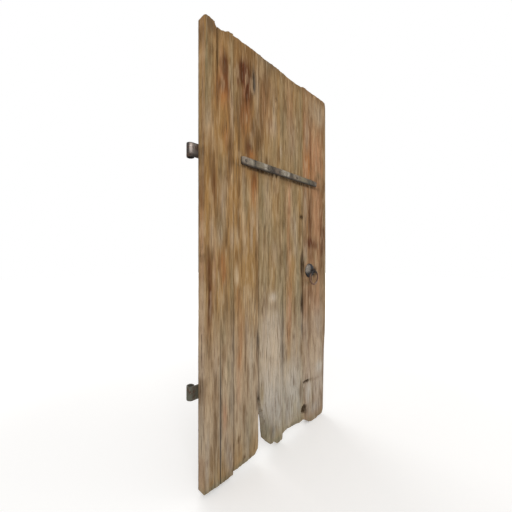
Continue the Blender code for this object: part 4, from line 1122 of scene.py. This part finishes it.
EYE_HIGHLIGHT = (0.95, 0.84, 0.76)
EYE_GREY = (0.24, 0.215, 0.195)
EYE_SHADE = (0.02, 0.018, 0.016)
HIGHLIGHT_FACING = math.radians(-114)
BAND_SCALE = (0.060, 0.050, 0.042)
LOWER_SCALE = (0.125, 0.125, 0.092)
LOWER_RIM_HIGHLIGHT = (0.16, 0.16, 0.13)


def band_tone(points, low, high, upper):
    """Dark scale all along, with painted highlights on the eyes and painted shade on the upper eye's rims.
    """
    away = points[:, :2] - np.array([low.x + EYE_OUTER, low.y + EYE_OUTER])
    facing = np.arctan2(away[:, 1], away[:, 0])
    spots = hills(points[:, 0] * 90 + points[:, 1] * 60, points[:, 2] * 90, 151)
    tone = np.array(BAND_SCALE if upper else LOWER_SCALE) * (0.7 + 0.8 * spots)[:, None]
    at_eye = ease((EYE_OUTER * 1.5 - np.linalg.norm(away, axis=1)) / 0.004)
    height = (points[:, 2] - low.z) / (high.z - low.z)
    # On the lower eye the top and bottom rims are painted paler: a painted highlight
    if not upper:
        return laid_over(tone, LOWER_RIM_HIGHLIGHT, 0.6 * at_eye * np.abs(2 * height - 1) ** 2)
    # A painted highlight over iron rubbed pale runs down the side of the upper eye that faces the camera,
    # and painted shade darkens its bottom, top and left rims
    facing_highlight = np.exp(-((facing - HIGHLIGHT_FACING) / 0.40) ** 4)
    tone = laid_over(tone, EYE_GREY, 0.7 * at_eye * ease((height - 0.12) / 0.2))
    tone = laid_over(tone, EYE_HIGHLIGHT, at_eye * facing_highlight * ease((height - 0.18) / 0.2) * (0.6 + 0.5 * spots))
    shaded_rim = ease((0.14 - height) / 0.08) + ease((height - 0.90) / 0.06) + ease((-2.50 - facing) / 0.15)
    return laid_over(tone, EYE_SHADE, 0.9 * at_eye * shaded_rim)


for node, seed in (("upper_band", 161), ("lower_band", 171)):
    points, *faces = tube(band_rings(node, seed))
    made = skin(f"rolled_{node}", TUBE_SMOOTH, points, *faces)
    tone = band_tone(points, *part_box(node), node == "upper_band")
    finish_piece(made, node, "leaf", IRON["band_iron"], tone, points)

# %% [markdown]
# ## Ring pull
# The rose is a disc of plate dished by hammer over a hollow, so it is a dome with a lip and an uneven
# face. The ring is round bar bent and closed at the forge: never quite round, its bar a few tenths
# thicker in some places than in others.

# %% Rose and ring
ROSE_LIP = 0.0025
ROSE_WALL = 0.0025
ROSE_AROUND = 96
DOME_POINTS = 26
ROSE_SCALE_AND_SHADE = (0.020, 0.020, 0.024)
ROSE_HIGHLIGHT = (0.42, 0.38, 0.33)


def rose_rings():
    """The dished plate turned round its middle: out over the dome to the lip, then back inside it."""
    low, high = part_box("rose")
    middle = (low + high) / 2
    radius, rise = (high.z - low.z) / 2, high.y - low.y
    quarter = np.linspace(0, 1, DOME_POINTS)[1:] * math.pi / 2
    outer = np.column_stack([radius * np.sin(quarter), ROSE_LIP + (rise - ROSE_LIP) * np.cos(quarter)])
    inner = np.column_stack([(radius - ROSE_WALL) * np.sin(quarter), (rise - ROSE_WALL) * np.cos(quarter)])
    profile = np.vstack([outer, [(radius, 0.0)], inner[::-1]])
    turn = np.arange(ROSE_AROUND) / ROSE_AROUND * 2 * math.pi
    across = profile[:, 0, None] * np.cos(turn)
    up = profile[:, 0, None] * np.sin(turn)
    dents = 0.0009 * hills(across * 130 + 9, up * 130 + 9, 181)
    dents = dents + 0.0003 * hills(across * 420 + 9, up * 420 + 9, 182)
    outside = (np.arange(len(profile)) < len(outer)).astype(float)[:, None]
    proud = profile[:, 1, None] - dents * outside * ease(profile[:, 1, None] / 0.004)
    shrink = 1 - 0.012 * hills(turn * 4, 3, 183)[None, :]
    return np.stack([middle.x + across * shrink, high.y - proud, middle.z + up * shrink], -1)


points, *faces = tube(rose_rings())
rose = skin("dished_rose", TUBE_SMOOTH, points, *faces)
low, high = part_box("rose")
place = (points - np.array((low + high) / 2)) / (high.z - low.z) * 2
# The rose is black scale, which on its right and lower side also stands for painted shade, and a pale
# painted highlight lies on its upper left, where the dome faces the light
pale = np.exp(-((place[:, 0] + 0.70) / 0.52) ** 4 - ((place[:, 2] - 0.30) / 0.58) ** 4)
painted_highlight = pale * (0.5 + 0.8 * hills(place[:, 0] * 6 + 9, place[:, 2] * 6 + 9, 184))
tone = laid_over(plain(ROSE_SCALE_AND_SHADE, len(points)), ROSE_HIGHLIGHT, painted_highlight)
finish_piece(rose, "rose", "leaf", IRON["pull_iron"], tone, points)

# %% Ring
RING_WIRE = 0.0045
RING_AROUND = 160
WIRE_AROUND = 28
# How many hills stand along each radian of the ring and of its wire
RING_LUMPS = 707 / 44
WIRE_LUMPS = 9 / math.pi


def ring_rings():
    """Round bar carried round a circle: the bar's radius varies by a few tenths."""
    low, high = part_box("ring")
    middle = (low + high) / 2
    radius = (high.z - low.z) / 2 - RING_WIRE
    turn = np.arange(RING_AROUND) / RING_AROUND * 2 * math.pi
    around = np.arange(WIRE_AROUND) / WIRE_AROUND * 2 * math.pi
    lump = hills(turn[:, None] * RING_LUMPS, around[None, :] * WIRE_LUMPS, 191)
    wire = (RING_WIRE - 0.0001) * (0.93 + 0.07 * lump)
    out = radius + wire * np.cos(around)
    x = middle.x + np.sin(turn)[:, None] * out
    z = middle.z - np.cos(turn)[:, None] * out
    return np.stack([x, middle.y - wire * np.sin(around), z], -1)


RING_BLACK = (0.022, 0.020, 0.022)
RING_RUST = (0.240, 0.130, 0.082)
RING_HIGHLIGHT = (0.420, 0.320, 0.260)
points, *faces = tube(ring_rings(), closed=True)
ring = skin("forged_ring", TUBE_SMOOTH, points, *faces)
low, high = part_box("ring")
height = (points[:, 2] - low.z) / (high.z - low.z)
tone = laid_over(plain(RING_RUST, len(points)), RING_BLACK, ease((height - 0.62) / 0.25))
# Black covers the ring's upper part, and the pale mark on its lower right is a painted highlight
worn = np.exp(-((height - 0.16) / 0.09) ** 2) * ease((points[:, 0] - (low.x + high.x) / 2) / 0.010)
tone = laid_over(tone, RING_HIGHLIGHT, 0.8 * worn)
finish_piece(ring, "ring", "pull_ring", IRON["ring_iron"], tone, points)

# %% [markdown]
# ## Nails, staple and plate
# The hand-made nails, the staple and the plate it is clenched over have their true form in the packed
# model already, so they stay, and only get their finish.

# %% Finish the small ironwork
kept = {name: node for name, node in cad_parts.items() if not node.hide_render}
for name, node in kept.items():
    finish = "strap_nail_iron" if name.startswith("strap_nail") else "plain_iron"
    node.data.materials.clear()
    node.data.materials.append(IRON["rusty_iron" if name == "clench_plate" else finish])
print(len(kept), "small pieces")

# %% Sizes, and finish
bpy.context.view_layer.update()
visual_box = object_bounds()
for axis in range(3):
    grown = (cad_box[0][axis] - visual_box[0][axis], visual_box[1][axis] - cad_box[1][axis])
    print("XYZ"[axis], "grown by", [round(g * 1000, 2) for g in grown], "mm")
